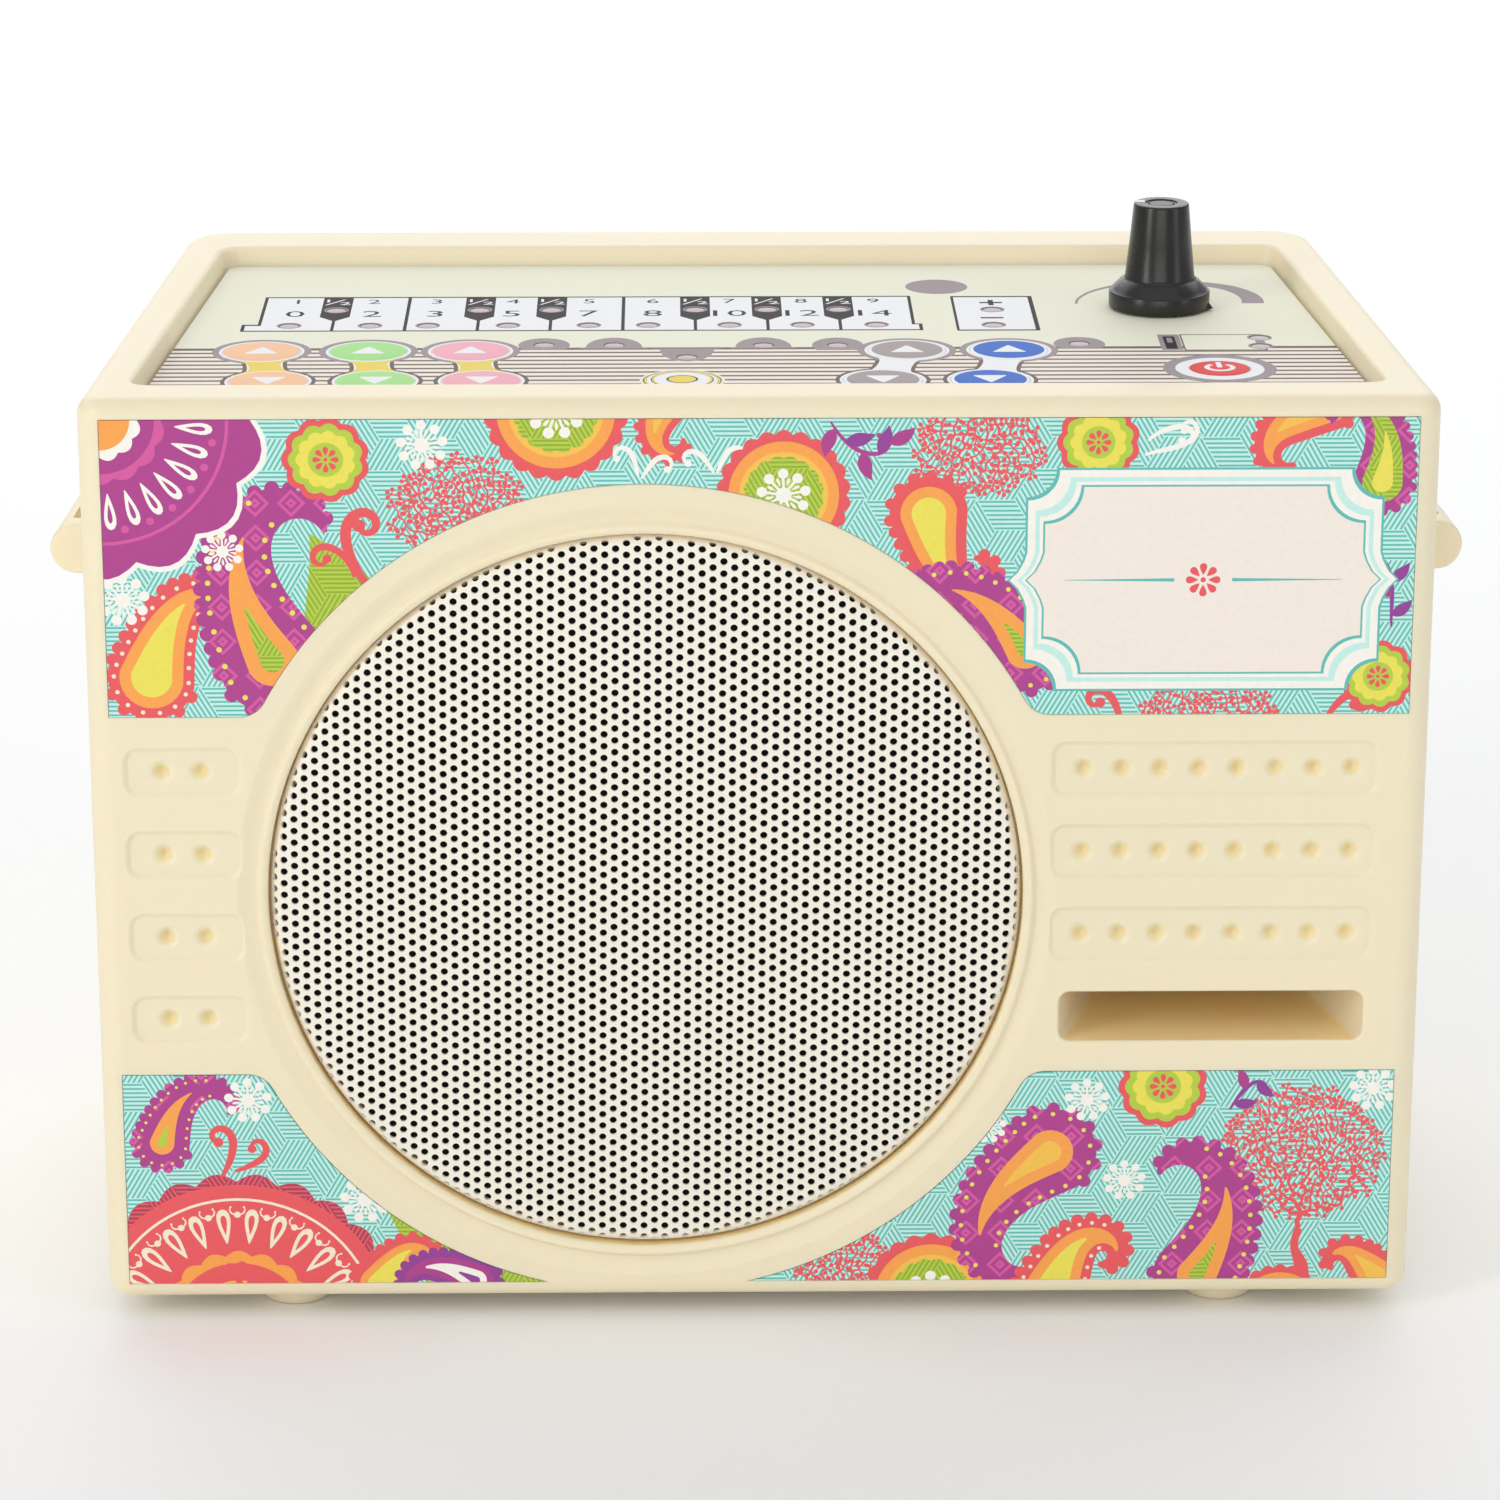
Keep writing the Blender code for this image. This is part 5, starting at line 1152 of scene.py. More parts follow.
def lozenges(low, high, side, width):
    """Hatch lines of tumbling lozenges, each third of a hexagon ruled in its own direction."""
    lines = []
    corners = [Vector((side * math.cos(math.radians(60 * index)), side * math.sin(math.radians(60 * index))))
               for index in range(6)]
    ruled = 7
    for column in range(int((high[0] - low[0]) / (1.5 * side)) + 2):
        for row in range(int((high[1] - low[1]) / (side * math.sqrt(3.0))) + 2):
            middle = Vector((low[0] + column * 1.5 * side, low[1] + (row + 0.5 * (column % 2)) * side * math.sqrt(3.0)))
            for third in range(3):
                first, last = corners[2 * third], corners[(2 * third + 2) % 6]
                across = last.normalized() * width / 2 / math.sin(math.radians(60))
                for rule in range(ruled):
                    start = middle + last * (rule + 0.5) / ruled
                    lines.append(("hatch", [tuple(start - across), tuple(start + first - across),
                                            tuple(start + first + across), tuple(start + across)]))
    return lines


def diamonds(shapes, size, width):
    """Lines of diamonds inside diamonds, wherever one of the shapes may be."""
    cells = set()
    for shape in shapes:
        low, high = ([end(point[axis] for point in shape) for axis in (0, 1)] for end in (min, max))
        for column in range(math.floor(low[0] / size), math.ceil(high[0] / size) + 1):
            for row in range(math.floor(low[1] / size), math.ceil(high[1] / size) + 1):
                cells.add((column, row))
    lines = []
    for column, row in sorted(cells):
        for reach in (0.4 * size, 0.16 * size):
            rings = [[(column * size + out * x, row * size + out * y) for x, y in ((1, 0), (0, 1), (-1, 0), (0, -1))]
                     for out in (reach, max(reach - width, 0.0))]
            for index in range(4):
                following = (index + 1) % 4
                lines.append(("diamond", [rings[0][index], rings[0][following], rings[1][following], rings[1][index]]))
    return lines


def cartouche(x, z, half_x, half_z, shrink):
    """A plate outline with scooped corners and a small point at each end."""
    hx, hz, scoop = half_x - shrink, half_z - shrink, 6.0 + shrink * 0.4
    outline = []
    for sx, sz, start in ((1, -1, 180.0), (1, 1, 270.0), (-1, 1, 0.0), (-1, -1, 90.0)):
        corner = (x + sx * hx, z + sz * hz)
        outline += arc(corner, scoop, start, start - 90.0, 10)
        if sz != sx:
            side = 1 if sx > 0 else -1
            outline += [(x + side * (hx + out), z - side * up)
                        for out, up in ((0.0, 5.0), (0.5, 3.4), (1.5, 1.5), (3.0, 0.0), (1.5, -1.5), (0.5, -3.4), (0.0, -5.0))]
    return outline


def upper_art():
    """The print of the upper label: drops, flowers and vines, with a bare plate and a corner flower."""
    art = []
    # Left of the grille
    art += leaf("lime", -68.0, 107.0, 38.0, 17.0, 96.0)
    art += tree(-52.0, 147.5, 11.5, 9.5, 120, (-46.0, 140.0))
    art += drop(flow(-105.5, 117.5, 75.0, (12.0, 0.0, -0.05), (16.0, -0.05, -0.42)), 7.6,
                ("coral", "orange", "yellow"), 2.0, 1.15, -1, "cream")
    art += boteh(-84.5, 120.5, 118.0, 24.0, -1, ("magenta", "magenta", "orange", "lime"), 1.3, 2.5, "yellow")
    art += vine("coral", flow(-66.5, 132.0, 122.0, (12.0, 0.02, -0.1), (14.0, -0.12, -0.75)), 1.9)
    art += vine("coral", flow(-70.0, 135.5, 100.0, (7.0, 0.08, 0.2), (8.0, 0.25, 0.95)), 1.3)
    art += rosette(-74.5, 156.5, 7.6)
    art += starflower(-58.0, 159.0, 4.4)
    art += starflower(-110.0, 131.5, 4.6)
    art += starflower(-92.6, 140.2, 3.6)
    # Above the grille
    art += fan(-35.0, 165.0, 12.4)
    art += drop(flow(-15.0, 168.5, -120.0, (6.0, 0.0, 0.05), (12.0, 0.08, 0.62)), 4.6, ("coral", "orange", "amber"),
                1.3, 0.8, 1)
    for x, z, heading, hand in ((-21.0, 153.5, 100.0, 1), (-20.4, 153.0, 60.0, -1), (-8.0, 154.0, 120.0, 1),
                                (-7.4, 154.0, 70.0, -1)):
        art += vine("white", flow(x, z, heading, (4.0, 0.0, hand * 0.12), (5.0, hand * 0.25, hand * 1.1)), 0.95)
    art += fan(4.0, 150.0, 11.6)
    art += branch(("magenta_plain", "purple"), flow(12.0, 163.0, -60.0, (10.0, 0.02, 0.18), (6.0, 0.2, 0.9)), 5.4, 5)
    # Right of the grille
    art += tree(37.5, 158.5, 11.0, 8.6, 104, (37.0, 168.0))
    art += drop(flow(29.0, 146.5, -80.0, (9.0, 0.0, 0.04), (17.0, 0.06, 0.5)), 6.8, ("coral", "orange", "yellow"), 1.9,
                1.05, 1)
    art += boteh(46.0, 122.0, 125.0, 19.0, 1, ("magenta", "magenta", "orange", "lime"), 1.15, 2.1, "yellow")
    art += vine("purple", flow(40.0, 112.0, 120.0, (8.0, -0.02, 0.1), (8.0, 0.15, 0.9)), 1.3)
    art += rosette(58.0, 159.2, 7.2)
    art += vine("white", flow(66.0, 157.0, 20.0, (8.0, -0.08, 0.12), (7.0, 0.2, 1.1)), 1.0)
    art += vine("white", flow(66.5, 159.5, 50.0, (6.0, -0.15, -0.1), (6.0, -0.2, -1.1)), 1.0)
    art += drop(flow(97.0, 166.5, -150.0, (8.0, 0.0, 0.02), (13.0, 0.06, 0.5)), 5.6, ("coral", "orange", "amber"), 1.6,
                0.9, 1)
    art += boteh(107.0, 152.0, 80.0, 13.0, 1, ("magenta", "lime", "yellow"), 0.9, 1.7)
    art += tree(78.0, 108.5, 13.0, 8.0, 110, (78.0, 100.0))
    art += vine("coral", flow(63.0, 108.0, 100.0, (6.0, 0.0, 0.15), (8.0, 0.2, 1.0)), 1.5)
    art += vine("coral", flow(98.5, 109.0, 60.0, (6.0, 0.0, -0.15), (8.0, -0.2, -1.0)), 1.5)
    art += rosette(107.5, 117.0, 6.6)
    art += branch(("purple", "magenta_plain"), flow(109.5, 126.0, 95.0, (11.0, -0.05, 0.1), (4.0, 0.2, 0.9)), 4.6, 4)
    # The bare plate
    for ink, shrink in (("teal", -1.9), ("white", -1.5), ("mint_plain", -0.2), ("white", 0.55), ("teal", 1.15),
                        ("plate", 1.5)):
        art.append((ink, cartouche(76.6, 134.6, 29.0, 18.2, shrink)))
    for side in (-1, 1):
        path = [(76.6 + side * (24.0 - 19.0 * share), 134.6) for share in (0.0, 0.25, 0.5, 0.75, 1.0)]
        art.append(("teal", stroke(path, lambda t: 0.1 + 0.5 * t)))
    art += floret("coral", 76.6, 134.6, 3.0)
    # The corner flower
    art += [("white", scalloped(-113.2, 163.6, 29.4, 14, 2.5)), ("plum", scalloped(-113.2, 163.6, 28.4, 14, 2.5)),
            ("pink_plain", circle(-113.2, 163.6, 22.3, 64)), ("plum", circle(-113.2, 163.6, 21.7, 64))]
    for index in range(7):
        turn = math.radians(-85.0 + 13.3 * index)
        art.append(("white", petal(-113.2, 163.6, 13.0, 6.6, 3.0, turn)))
        art.append(("plum", petal(-113.2, 163.6, 15.0, 3.4, 1.2, turn)))
        turn += math.radians(6.65)
        art.append(("pink_plain", circle(-113.2 + 19.8 * math.cos(turn), 163.6 + 19.8 * math.sin(turn), 0.7, 10)))
    art += [("pink_plain", scalloped(-113.2, 163.6, 11.5, 14, 0.9)), ("plum", circle(-113.2, 163.6, 9.6, 40)),
            ("white", scalloped(-113.2, 163.6, 7.4, 12, 0.8)), ("orange", circle(-113.2, 163.6, 5.4, 32))]
    return art


def lower_left_art():
    """The print of the lower left label: a wheel, curled drops and a ruled lime ground."""
    x, z = -93.5, -5.0
    art = [("lime", [(-82.0, 50.0), (-50.0, 50.0), (-20.0, 20.0), (-20.0, -5.0), (-56.0, -5.0), (-66.0, 16.0)])]
    art += [("maroon", scalloped(x, z, 29.6, 24, 1.6)), ("coral", circle(x, z, 27.4, 72)),
            ("cream", circle(x, z, 24.8, 72)), ("coral", circle(x, z, 24.3, 72)),
            ("orange", scalloped(x, z, 14.6, 18, 1.0)), ("coral", circle(x, z, 12.2, 48)),
            ("amber", circle(x, z, 8.8, 40))]
    for index in range(12):
        turn = math.radians(13.0 + 14.0 * index)
        art += [("cream", petal(x, z, 16.0, 6.8, 3.6, turn)), ("coral", petal(x, z, 17.8, 3.8, 1.6, turn))]
        turn += math.radians(7.0)
        spot = (x + 21.6 * math.cos(turn), z + 21.6 * math.sin(turn))
        art += [("cream", circle(*spot, 0.62, 10))]
        for hand in (-1, 1):
            art += vine("cream", flow(*spot, math.degrees(turn) + hand * 100.0, (2.4, -hand * 0.3, -hand * 1.4)), 0.32)
    art += floret("coral", x, z + 8.4, 4.2, 9)
    art += boteh(-106.5, 30.5, 75.0, 12.5, -1, ("magenta", "magenta_plain", "orange", "lime_plain"), 0.9, 1.4, "yellow")
    art += vine("coral", flow(-96.0, 24.0, 60.0, (7.0, 0.02, 0.12), (8.0, 0.2, 0.9)), 1.5)
    art += vine("coral", flow(-93.6, 25.0, 20.0, (5.0, 0.0, 0.1), (7.0, 0.2, 1.0)), 1.3)
    art += starflower(-91.0, 38.6, 4.2)
    art += starflower(-70.6, 19.4, 4.4)
    art += drop(flow(-68.0, 3.0, 60.0, (6.0, 0.0, -0.06), (11.0, -0.1, -0.62)), 5.2,
                ("coral", "orange", "yellow"), 1.4, 0.9, -1)
    art += boteh(-51.0, 3.6, 150.0, 11.0, 1, ("purple", "magenta_plain", "white", "purple"), 0.85, 1.2)
    art += leaf("purple", -62.5, 14.5, 7.0, 3.4, 20.0, "plum")
    return art


def lower_right_art():
    """The print of the lower right label: a berry tree between curled drops, and wheels along its edge."""
    art = []
    art += tree(14.5, 6.0, 9.0, 8.0, 80, (14.5, -4.0))
    art += fan(31.0, 0.0, 12.4)
    art += boteh(52.0, 28.0, 215.0, 21.0, 1, ("magenta", "magenta", "orange", "amber"), 1.2, 2.1, "yellow")
    art += drop(flow(52.0, -2.0, 75.0, (11.0, 0.0, -0.05), (17.0, -0.07, -0.5)), 7.6, ("coral", "orange", "yellow"),
                1.9, 1.15, -1, "cream")
    art += rosette(72.0, 40.5, 8.0)
    art += tree(97.0, 27.5, 14.5, 12.5, 190, (97.0, 13.0), 2.4)
    art += boteh(79.0, 4.0, 60.0, 20.0, 1, ("magenta", "magenta", "orange", "lime"), 1.2, 2.2, "yellow")
    art += drop(flow(112.0, 3.0, 130.0, (6.0, 0.0, 0.05), (9.0, 0.1, 0.7)), 5.0, ("coral", "orange", "amber"), 1.5,
                0.9, 1)
    art += fan(94.0, -3.0, 9.0)
    art += starflower(58.5, 38.0, 4.0)
    art += starflower(109.5, 40.0, 4.2)
    art += starflower(65.5, 22.5, 3.8)
    art += starflower(41.0, 33.0, 3.2)
    art += branch(("purple", "magenta_plain"), flow(84.0, 36.0, 60.0, (6.0, 0.0, -0.1), (4.0, -0.2, -0.9)), 4.4, 3)
    return art


LABEL_INKS = ("mint", "teal", "coral", "magenta", "pink", "white", "lime", "lime_dark", "yellow", "amber", "orange",
              "purple", "maroon", "cream", "plate")
SECOND_TONE = {"ground": ("hatch", "teal"), "mint": ("hatch", "teal"), "lime": ("hatch", "lime_dark"),
               "maroon": ("hatch", "coral"), "magenta": ("diamond", "pink")}
SAME_INK = {"ground": "mint", "plum": "magenta", "mint_plain": "mint", "pink_plain": "pink", "lime_plain": "lime",
            "magenta_plain": "magenta"}


def label(name, outline, art, sizes):
    """A printed label: the drawing's inks on a thin plate in its field."""
    low, high = ([end(point[axis] for point in outline) for axis in (0, 1)] for end in (min, max))
    lines = lozenges(low, high, sizes.hatch_cell / MM, sizes.hatch_line / MM)
    lines += diamonds([shape for ink, shape in art if ink == "magenta"], sizes.diamond / MM, sizes.diamond_line / MM)
    points, triangles, painted = drawing(outline, art, lines)
    indices = []
    for ink, kinds in painted:
        kind, second = SECOND_TONE.get(ink, ("", ""))
        indices.append(LABEL_INKS.index(second if kind in kinds else SAME_INK.get(ink, ink)))
    return slab(name, points, triangles, indices, lambda x, z: place(x, LABEL_NEAR, z),
                lambda x, z: place(x, LABEL_FAR, z), [finish("ink_" + ink) for ink in LABEL_INKS])


class TANPURA_OT_labels(bpy.types.Operator):
    """Prints the three labels of the front with a pattern of flowers, paisleys and ruled lozenges."""

    bl_idname = "tanpura.labels"
    bl_label = "Printed labels"

    def execute(self, context):
        """Draws each label inside its field."""
        sizes = context.scene.tanpura_sizes
        for node, outline, art in (("label_upper", upper_field(LABEL_GAP), upper_art()),
                                   ("label_lower_left", lower_field(-1, LABEL_GAP), lower_left_art()),
                                   ("label_lower_right", lower_field(1, LABEL_GAP), lower_right_art())):
            made = label(node + "_print", outline, art, sizes)
            keep(made, "case", "printed_label", node)
        return {"FINISHED"}


# Control panel


def lamp_places():
    """x and depth of every lamp in the panel."""
    left = KEYBOARD[0]
    places = [(left + WHITE_PITCH * (index + 0.5) + shift, 67.9) for index, shift in enumerate(WHITE_LAMPS)]
    places += [(left + WHITE_PITCH * (index + 1), 80.0) for index in HALF_KEYS]
    return places + list(OCTAVE_LAMPS) + list(STATUS_LAMPS) + list(BATTERY_LAMPS)


def lobe(x, y, half, top, flare):
    """A rounded tab around a lamp, whose foot spreads where it stands on the stripes' first line."""
    foot = 2.0 if top > y else -2.0
    points = [(x - half - flare, STRIPE_START), (x - half * 0.94, STRIPE_START + foot * 0.6)] if flare else []
    turns = [math.pi * (1 - step / 20) for step in range(0 if flare else -4, 21 if flare else 25)]
    points += [(x + half * 0.97 * math.cos(turn), y + (top - y) * math.sin(turn)) for turn in turns]
    if flare:
        points += [(x + half * 0.94, STRIPE_START + foot * 0.6), (x + half + flare, STRIPE_START)]
    return points


def waist(upper, lower, half, grow):
    """The narrow bridge between two keys of a pair."""
    left, right = [], []
    for step in range(25):
        t = step / 24
        x = upper[0] + (lower[0] - upper[0]) * t
        y = upper[1] + (lower[1] - upper[1]) * t
        wide = half + 4.2 * abs(2 * t - 1) ** 2.4 + grow
        left.append((x - wide, y))
        right.append((x + wide, y))
    return left + right[::-1]


def numbers(ink, texts, xs, y, height, stretch):
    """A row of numbers."""
    return [(ink, shape) for text, x in zip(texts, xs) for shape in numeral(text, x, y, height, stretch)]


def keyboard_art():
    """White keys, half keys and their numbers: the key's own above, its steps of pitch below."""
    left, right, near, far = KEYBOARD
    art = [("black", [(left - 0.45, near + 4.6), (left - 0.45, far + 0.75), (right + 0.45, far + 0.75),
                      (right + 0.45, near + 4.4), (right + 1.75, near + 4.4), (right + 1.75, near - 0.75),
                      (left - 3.35, near - 0.75), (left - 3.35, near + 4.6)]),
           ("white", [(left + 0.15, near + 3.7), (left + 0.15, far), (right - 0.15, far), (right - 0.15, near + 3.8),
                      (right + 1.1, near + 3.8), (right + 1.1, near), (left - 2.7, near), (left - 2.7, near + 3.7)])]
    for index in range(1, WHITE_KEYS):
        x = left + WHITE_PITCH * index
        if index - 1 in HALF_KEYS:
            art.append(("black", [(x - 2.75, far), (x - 2.75, 74.6), (x - 0.3, 71.6), (x - 0.3, near),
                                  (x + 0.3, near), (x + 0.3, 71.6), (x + 2.75, 74.6), (x + 2.75, far)]))
            art += numbers("white", ["½"], [x], 86.2, 4.4, 1.2)
        else:
            art.append(("black", [(x - 0.32, near), (x + 0.32, near), (x + 0.32, far), (x - 0.32, far)]))
    middles = [left + WHITE_PITCH * (index + 0.5) + WHITE_LAMPS[index] * 0.6 for index in range(WHITE_KEYS)]
    art += numbers("black", "123456789", middles, 86.6, 3.3, 1.15)
    return art + numbers("black", ("0", "2", "3", "5", "7", "8", "10", "12", "14"), middles, 77.0, 4.6, 1.25)


def ring_art(x, y, rings):
    """Discs inside one another, from the largest."""
    return [(ink, circle(x, y, radius, 48)) for ink, radius in rings]


def tone_arc():
    """The arc behind the tone knob, which widens towards its right end."""
    reach = (17.8, 18.7, 19.3, 19.0, 18.3, 17.6, 17.2, 17.1, 17.4)
    outer, inner = [], []
    for step in range(49):
        share = step / 48
        place_in = share * (len(reach) - 1)
        index = min(int(place_in), len(reach) - 2)
        radius = reach[index] + (reach[index + 1] - reach[index]) * (place_in - index)
        left = 1.0 - share
        thick = 0.55 + 3.6 * left * left * (3.0 - 2.0 * left)
        turn = math.pi * share
        outer.append((TONE_ARC[0] + radius * math.cos(turn), TONE_ARC[1] + radius * math.sin(turn)))
        inner.append((TONE_ARC[0] + (radius - thick) * math.cos(turn), TONE_ARC[1] + (radius - thick) * math.sin(turn)))
    return outer + inner[::-1]


def panel_art(gap):
    """The control panel's print, from its ground up, with its holes last."""
    art = [("ivory", [(-120.0, 0.0), (120.0, 0.0), (120.0, STRIPE_START), (-120.0, STRIPE_START)])]
    for index in range(STRIPE_COUNT):
        y = STRIPE_START - STRIPE_PITCH * index
        half = 0.8 if index == 0 else 0.5
        art.append(("stripe", [(-120.0, y - half), (120.0, y - half), (120.0, y + half), (-120.0, y + half)]))
    for index, (x, y) in enumerate(STATUS_LAMPS):
        if index == 2:
            art.append(("grey", lobe(x, STRIPE_START - 1.0, 5.0, 40.6, 1.6)))
        elif index in (1, 3):
            art.append(("grey", lobe(x, STRIPE_START + 1.0, 5.2, 58.3, 1.2)))
        else:
            art.append(("grey", lobe(x, y - 0.4, 4.8, 58.0, 0.0)))
    centres = {name: (x, y) for name, x, y, _ in KEYS}
    pairs = [(centres[name + "_up"], centres[name + "_down"]) for name in ("orange", "green", "pink", "grey", "blue")]
    for upper, lower in pairs:
        art += [("stripe", waist(upper, lower, 3.2, 0.75)), ("grey", circle(*upper, 8.9, 48)),
                ("stripe", circle(*lower, 8.4, 48))]
        art += [("white", waist(upper, lower, 3.2, 0.0)), ("white", circle(*upper, 7.65, 48)),
                ("white", circle(*lower, 7.65, 48))]
    for upper, lower in pairs[:3]:
        art.append(("amber", waist((upper[0], upper[1] - 4.0), (lower[0], lower[1] + 4.0), 2.85, 0.0)))
        art += [("white", circle(x, y, 7.55, 48)) for x, y in (upper, lower)]
    art += ring_art(*centres["yellow"], (("ivory", 7.5), ("black", 6.95), ("amber", 6.75)))
    art += ring_art(*centres["power"], (("grey", 10.1), ("white", 7.9)))
    art += keyboard_art()
    art += [("black", rectangle(15.2, 27.0, 0.3, (44.5, 76.5), 2)), ("white", rectangle(13.9, 25.3, 0.2, (44.35, 76.5), 2))]
    for (x, y), sign in zip(OCTAVE_LAMPS, "+-"):
        art.append(("black", rectangle(4.2, 1.0, 0.1, (x, y + 5.4), 1)))
        if sign == "+":
            art.append(("black", rectangle(1.0, 4.2, 0.1, (x, y + 5.4), 1)))
    art += [("grey", circle(34.7, 97.6, 5.85, 40)), ("grey", tone_arc())]
    art += [("stripe", rectangle(15.0, 12.0, 0.2, (84.5, 53.8), 1)), ("ground", rectangle(14.4, 11.0, 0.2, (84.5, 53.8), 1)),
            ("grey", rectangle(3.9, 11.6, 0.2, (74.9, 53.9), 1)), ("black", rectangle(2.1, 9.2, 0.2, (74.9, 53.6), 1)),
            ("grey", rectangle(1.0, 3.6, 0.1, (74.9, 55.4), 1)), ("grey", rectangle(1.7, 6.0, 0.1, (91.2, 54.2), 1))]
    for x, y in lamp_places():
        art.append(("lamp_ring", circle(x, y, 2.3, 24)))
    for name, x, y, radius in KEYS:
        art.append(("hole", circle(x, y, radius + 0.1 + gap, 64)))
    return art


PANEL_INKS = {"ground": "film", "ivory": "print_ground", "stripe": "print_stripe", "grey": "print_grey",
              "black": "print_black", "white": "print_white", "amber": "print_amber", "lamp_ring": "print_grey"}


class TANPURA_OT_panel(bpy.types.Operator):
    """Prints the control panel's film: keyboard, stripes, key rings, tone arc and lamp windows."""

    bl_idname = "tanpura.panel"
    bl_label = "Control panel"

    def execute(self, context):
        """Draws the film's print and cuts the holes for keys, lamps and the tone control."""
        sizes = context.scene.tanpura_sizes
        gap = sizes.key_gap / MM
        art = panel_art(gap)
        for x, y in lamp_places():
            art.append(("hole", circle(x, y, sizes.lamp / MM / 2 + 0.06, 32)))
        art.append(("hole", circle(KNOB_X, KNOB_Y, 3.8, 32)))
        points, triangles, painted = drawing(panel_outline(0.0), art)
        order = list(dict.fromkeys(PANEL_INKS.values()))
        indices = [order.index(PANEL_INKS[ink]) for ink, _ in painted]
        made = slab("control_panel_print", points, triangles, indices, lambda x, y: place(x, y, PANEL_TOP),
                    lambda x, y: place(x, y, PANEL_TOP - PANEL_THICK), [finish(name) for name in order])
        keep(made, "case", "panel_film", "control_panel")
        dress("keypad_board", "board")
        return {"FINISHED"}


# Keys and lamps


def key_art(name, x, y, radius):
    """The print on a key: an arrow, rings or the power sign."""
    rim = 6.4 if name.startswith(("grey", "blue")) else radius * 0.985
    art = [("colour", circle(x, y, rim * share, 48)) for share in (1.0, 0.97, 0.9, 0.75, 0.5)]
    if name == "power":
        art += [("white", stroke(arc((x, y), 2.3, 124.0, 416.0, 28), lambda t: 0.95)),
                ("white", rectangle(0.95, 3.9, 0.2, (x, y + 1.9), 2))]
    elif name == "yellow":
        art = ring_art(x, y, (("white", 6.3), ("black", 5.55), ("colour", 5.35), ("white", 4.95), ("white", 4.0),
                              ("black", 2.8), ("colour", 2.45), ("colour", 1.4)))
    else:
        lift = 1 if name.endswith("up") else -1
        corners = [(x - 3.1, y - 2.3 * lift), (x + 3.1, y - 2.3 * lift), (x, y + 2.8 * lift)]
        art.append(("white", rounded(corners if lift > 0 else corners[::-1], [0.25] * 3, 3)))
    return art


class TANPURA_OT_keys(bpy.types.Operator):
    """Builds the twelve soft keys, each a shallow dome with its printed sign."""

    bl_idname = "tanpura.keys"
    bl_label = "Soft keys"

    def execute(self, context):
        """Prints each key's top and adds the base that keeps it under the panel."""
        under = PANEL_TOP - PANEL_THICK - GAP
        for name, x, y, radius in KEYS:
            wide = radius + 0.1
            points, triangles, painted = drawing(circle(x, y, wide, 64), key_art(name, x, y, wide))
            tones = ("colour", "white", "black")
            indices = [tones.index("white" if ink == "ground" else ink) for ink, _ in painted]

            def dome(px, py):
                """The key's top, crowned and turned down at its edge."""
                off = min(math.hypot(px - x, py - y) / wide, 1.0)
                return place(px, py, PANEL_TOP + KEY_PROUD * (1.0 - 0.25 * off ** 2 - 0.75 * off ** 12))

            colour = name.split("_")[0]
            materials = [finish("key_" + colour), finish("print_white"), finish("print_black")]
            top = slab("cap", points, triangles, indices, dome, lambda px, py: place(px, py, under), materials, 40.0)
            base = turned("base", [(0.0, 0.0), (radius + 0.8, 0.0), (radius + 0.9, -0.1), (radius + 0.9, -1.5),
                                   (radius + 0.8, -1.6), (0.0, -1.6)], (x, y, under), 48, [materials[0]])
            key = joined("key_" + name + "_cap", [top, base])
            keep(key, name, "key_red" if name == "power" else "key_" + colour, "key_" + name)
        return {"FINISHED"}


class TANPURA_OT_lamps(bpy.types.Operator):
    """Builds the lamps' round lenses on the thin sheet that carries them."""

    bl_idname = "tanpura.lamps"
    bl_label = "Lamp lenses"

    def execute(self, context):
        """Turns a lens at each lamp's place and cuts the sheet below."""
        radius = context.scene.tanpura_sizes.lamp / MM / 2
        low = BOARD_TOP + GAP
        top = PANEL_TOP - 0.04
        lens = [(0.0, top), (radius * 0.6, top - 0.02), (radius - 0.12, top - 0.06), (radius, top - 0.2),
                (radius, low + 0.5), (0.0, low + 0.5)]
        made = [turned("lens", lens, (x, y, 0.0), 24, [finish("lamp")]) for x, y in lamp_places()]
        outline = rounded([(-97.5, 20.0), (97.5, 20.0), (91.0, 110.0), (-91.0, 110.0)], [3.0] * 4, 4)
        holes = [rounded([(-95.0, 21.0), (-42.0, 21.0), (-44.0, 55.0), (-95.0, 55.0)], [3.0] * 4, 4),
                 rounded([(16.0, 21.0), (47.5, 21.0), (52.0, 42.0), (52.0, 55.0), (21.0, 55.0), (16.0, 36.0)],
                         [3.0] * 6, 4), circle(KNOB_X, KNOB_Y, 10.0)]
        holes += [circle(x, y, 5.0, 24) for name, x, y, _ in KEYS if name in ("yellow", "power")]
        holes += [circle(x, y, 3.4, 24) for x, y in ((-84.0, 103.0), (60.0, 103.0), (-30.0, 24.0), (62.0, 24.0))]
        points, triangles, painted = drawing(outline, [("hole", hole) for hole in holes])
        made.append(slab("sheet", points, triangles, [0] * len(painted), lambda x, y: place(x, y, low + 0.5),
                         lambda x, y: place(x, y, low), [finish("lamp")]))
        keep(joined("lamp_lenses", made), "case", "lamp_lens", "lamp_guide")
        return {"FINISHED"}


# Tone control


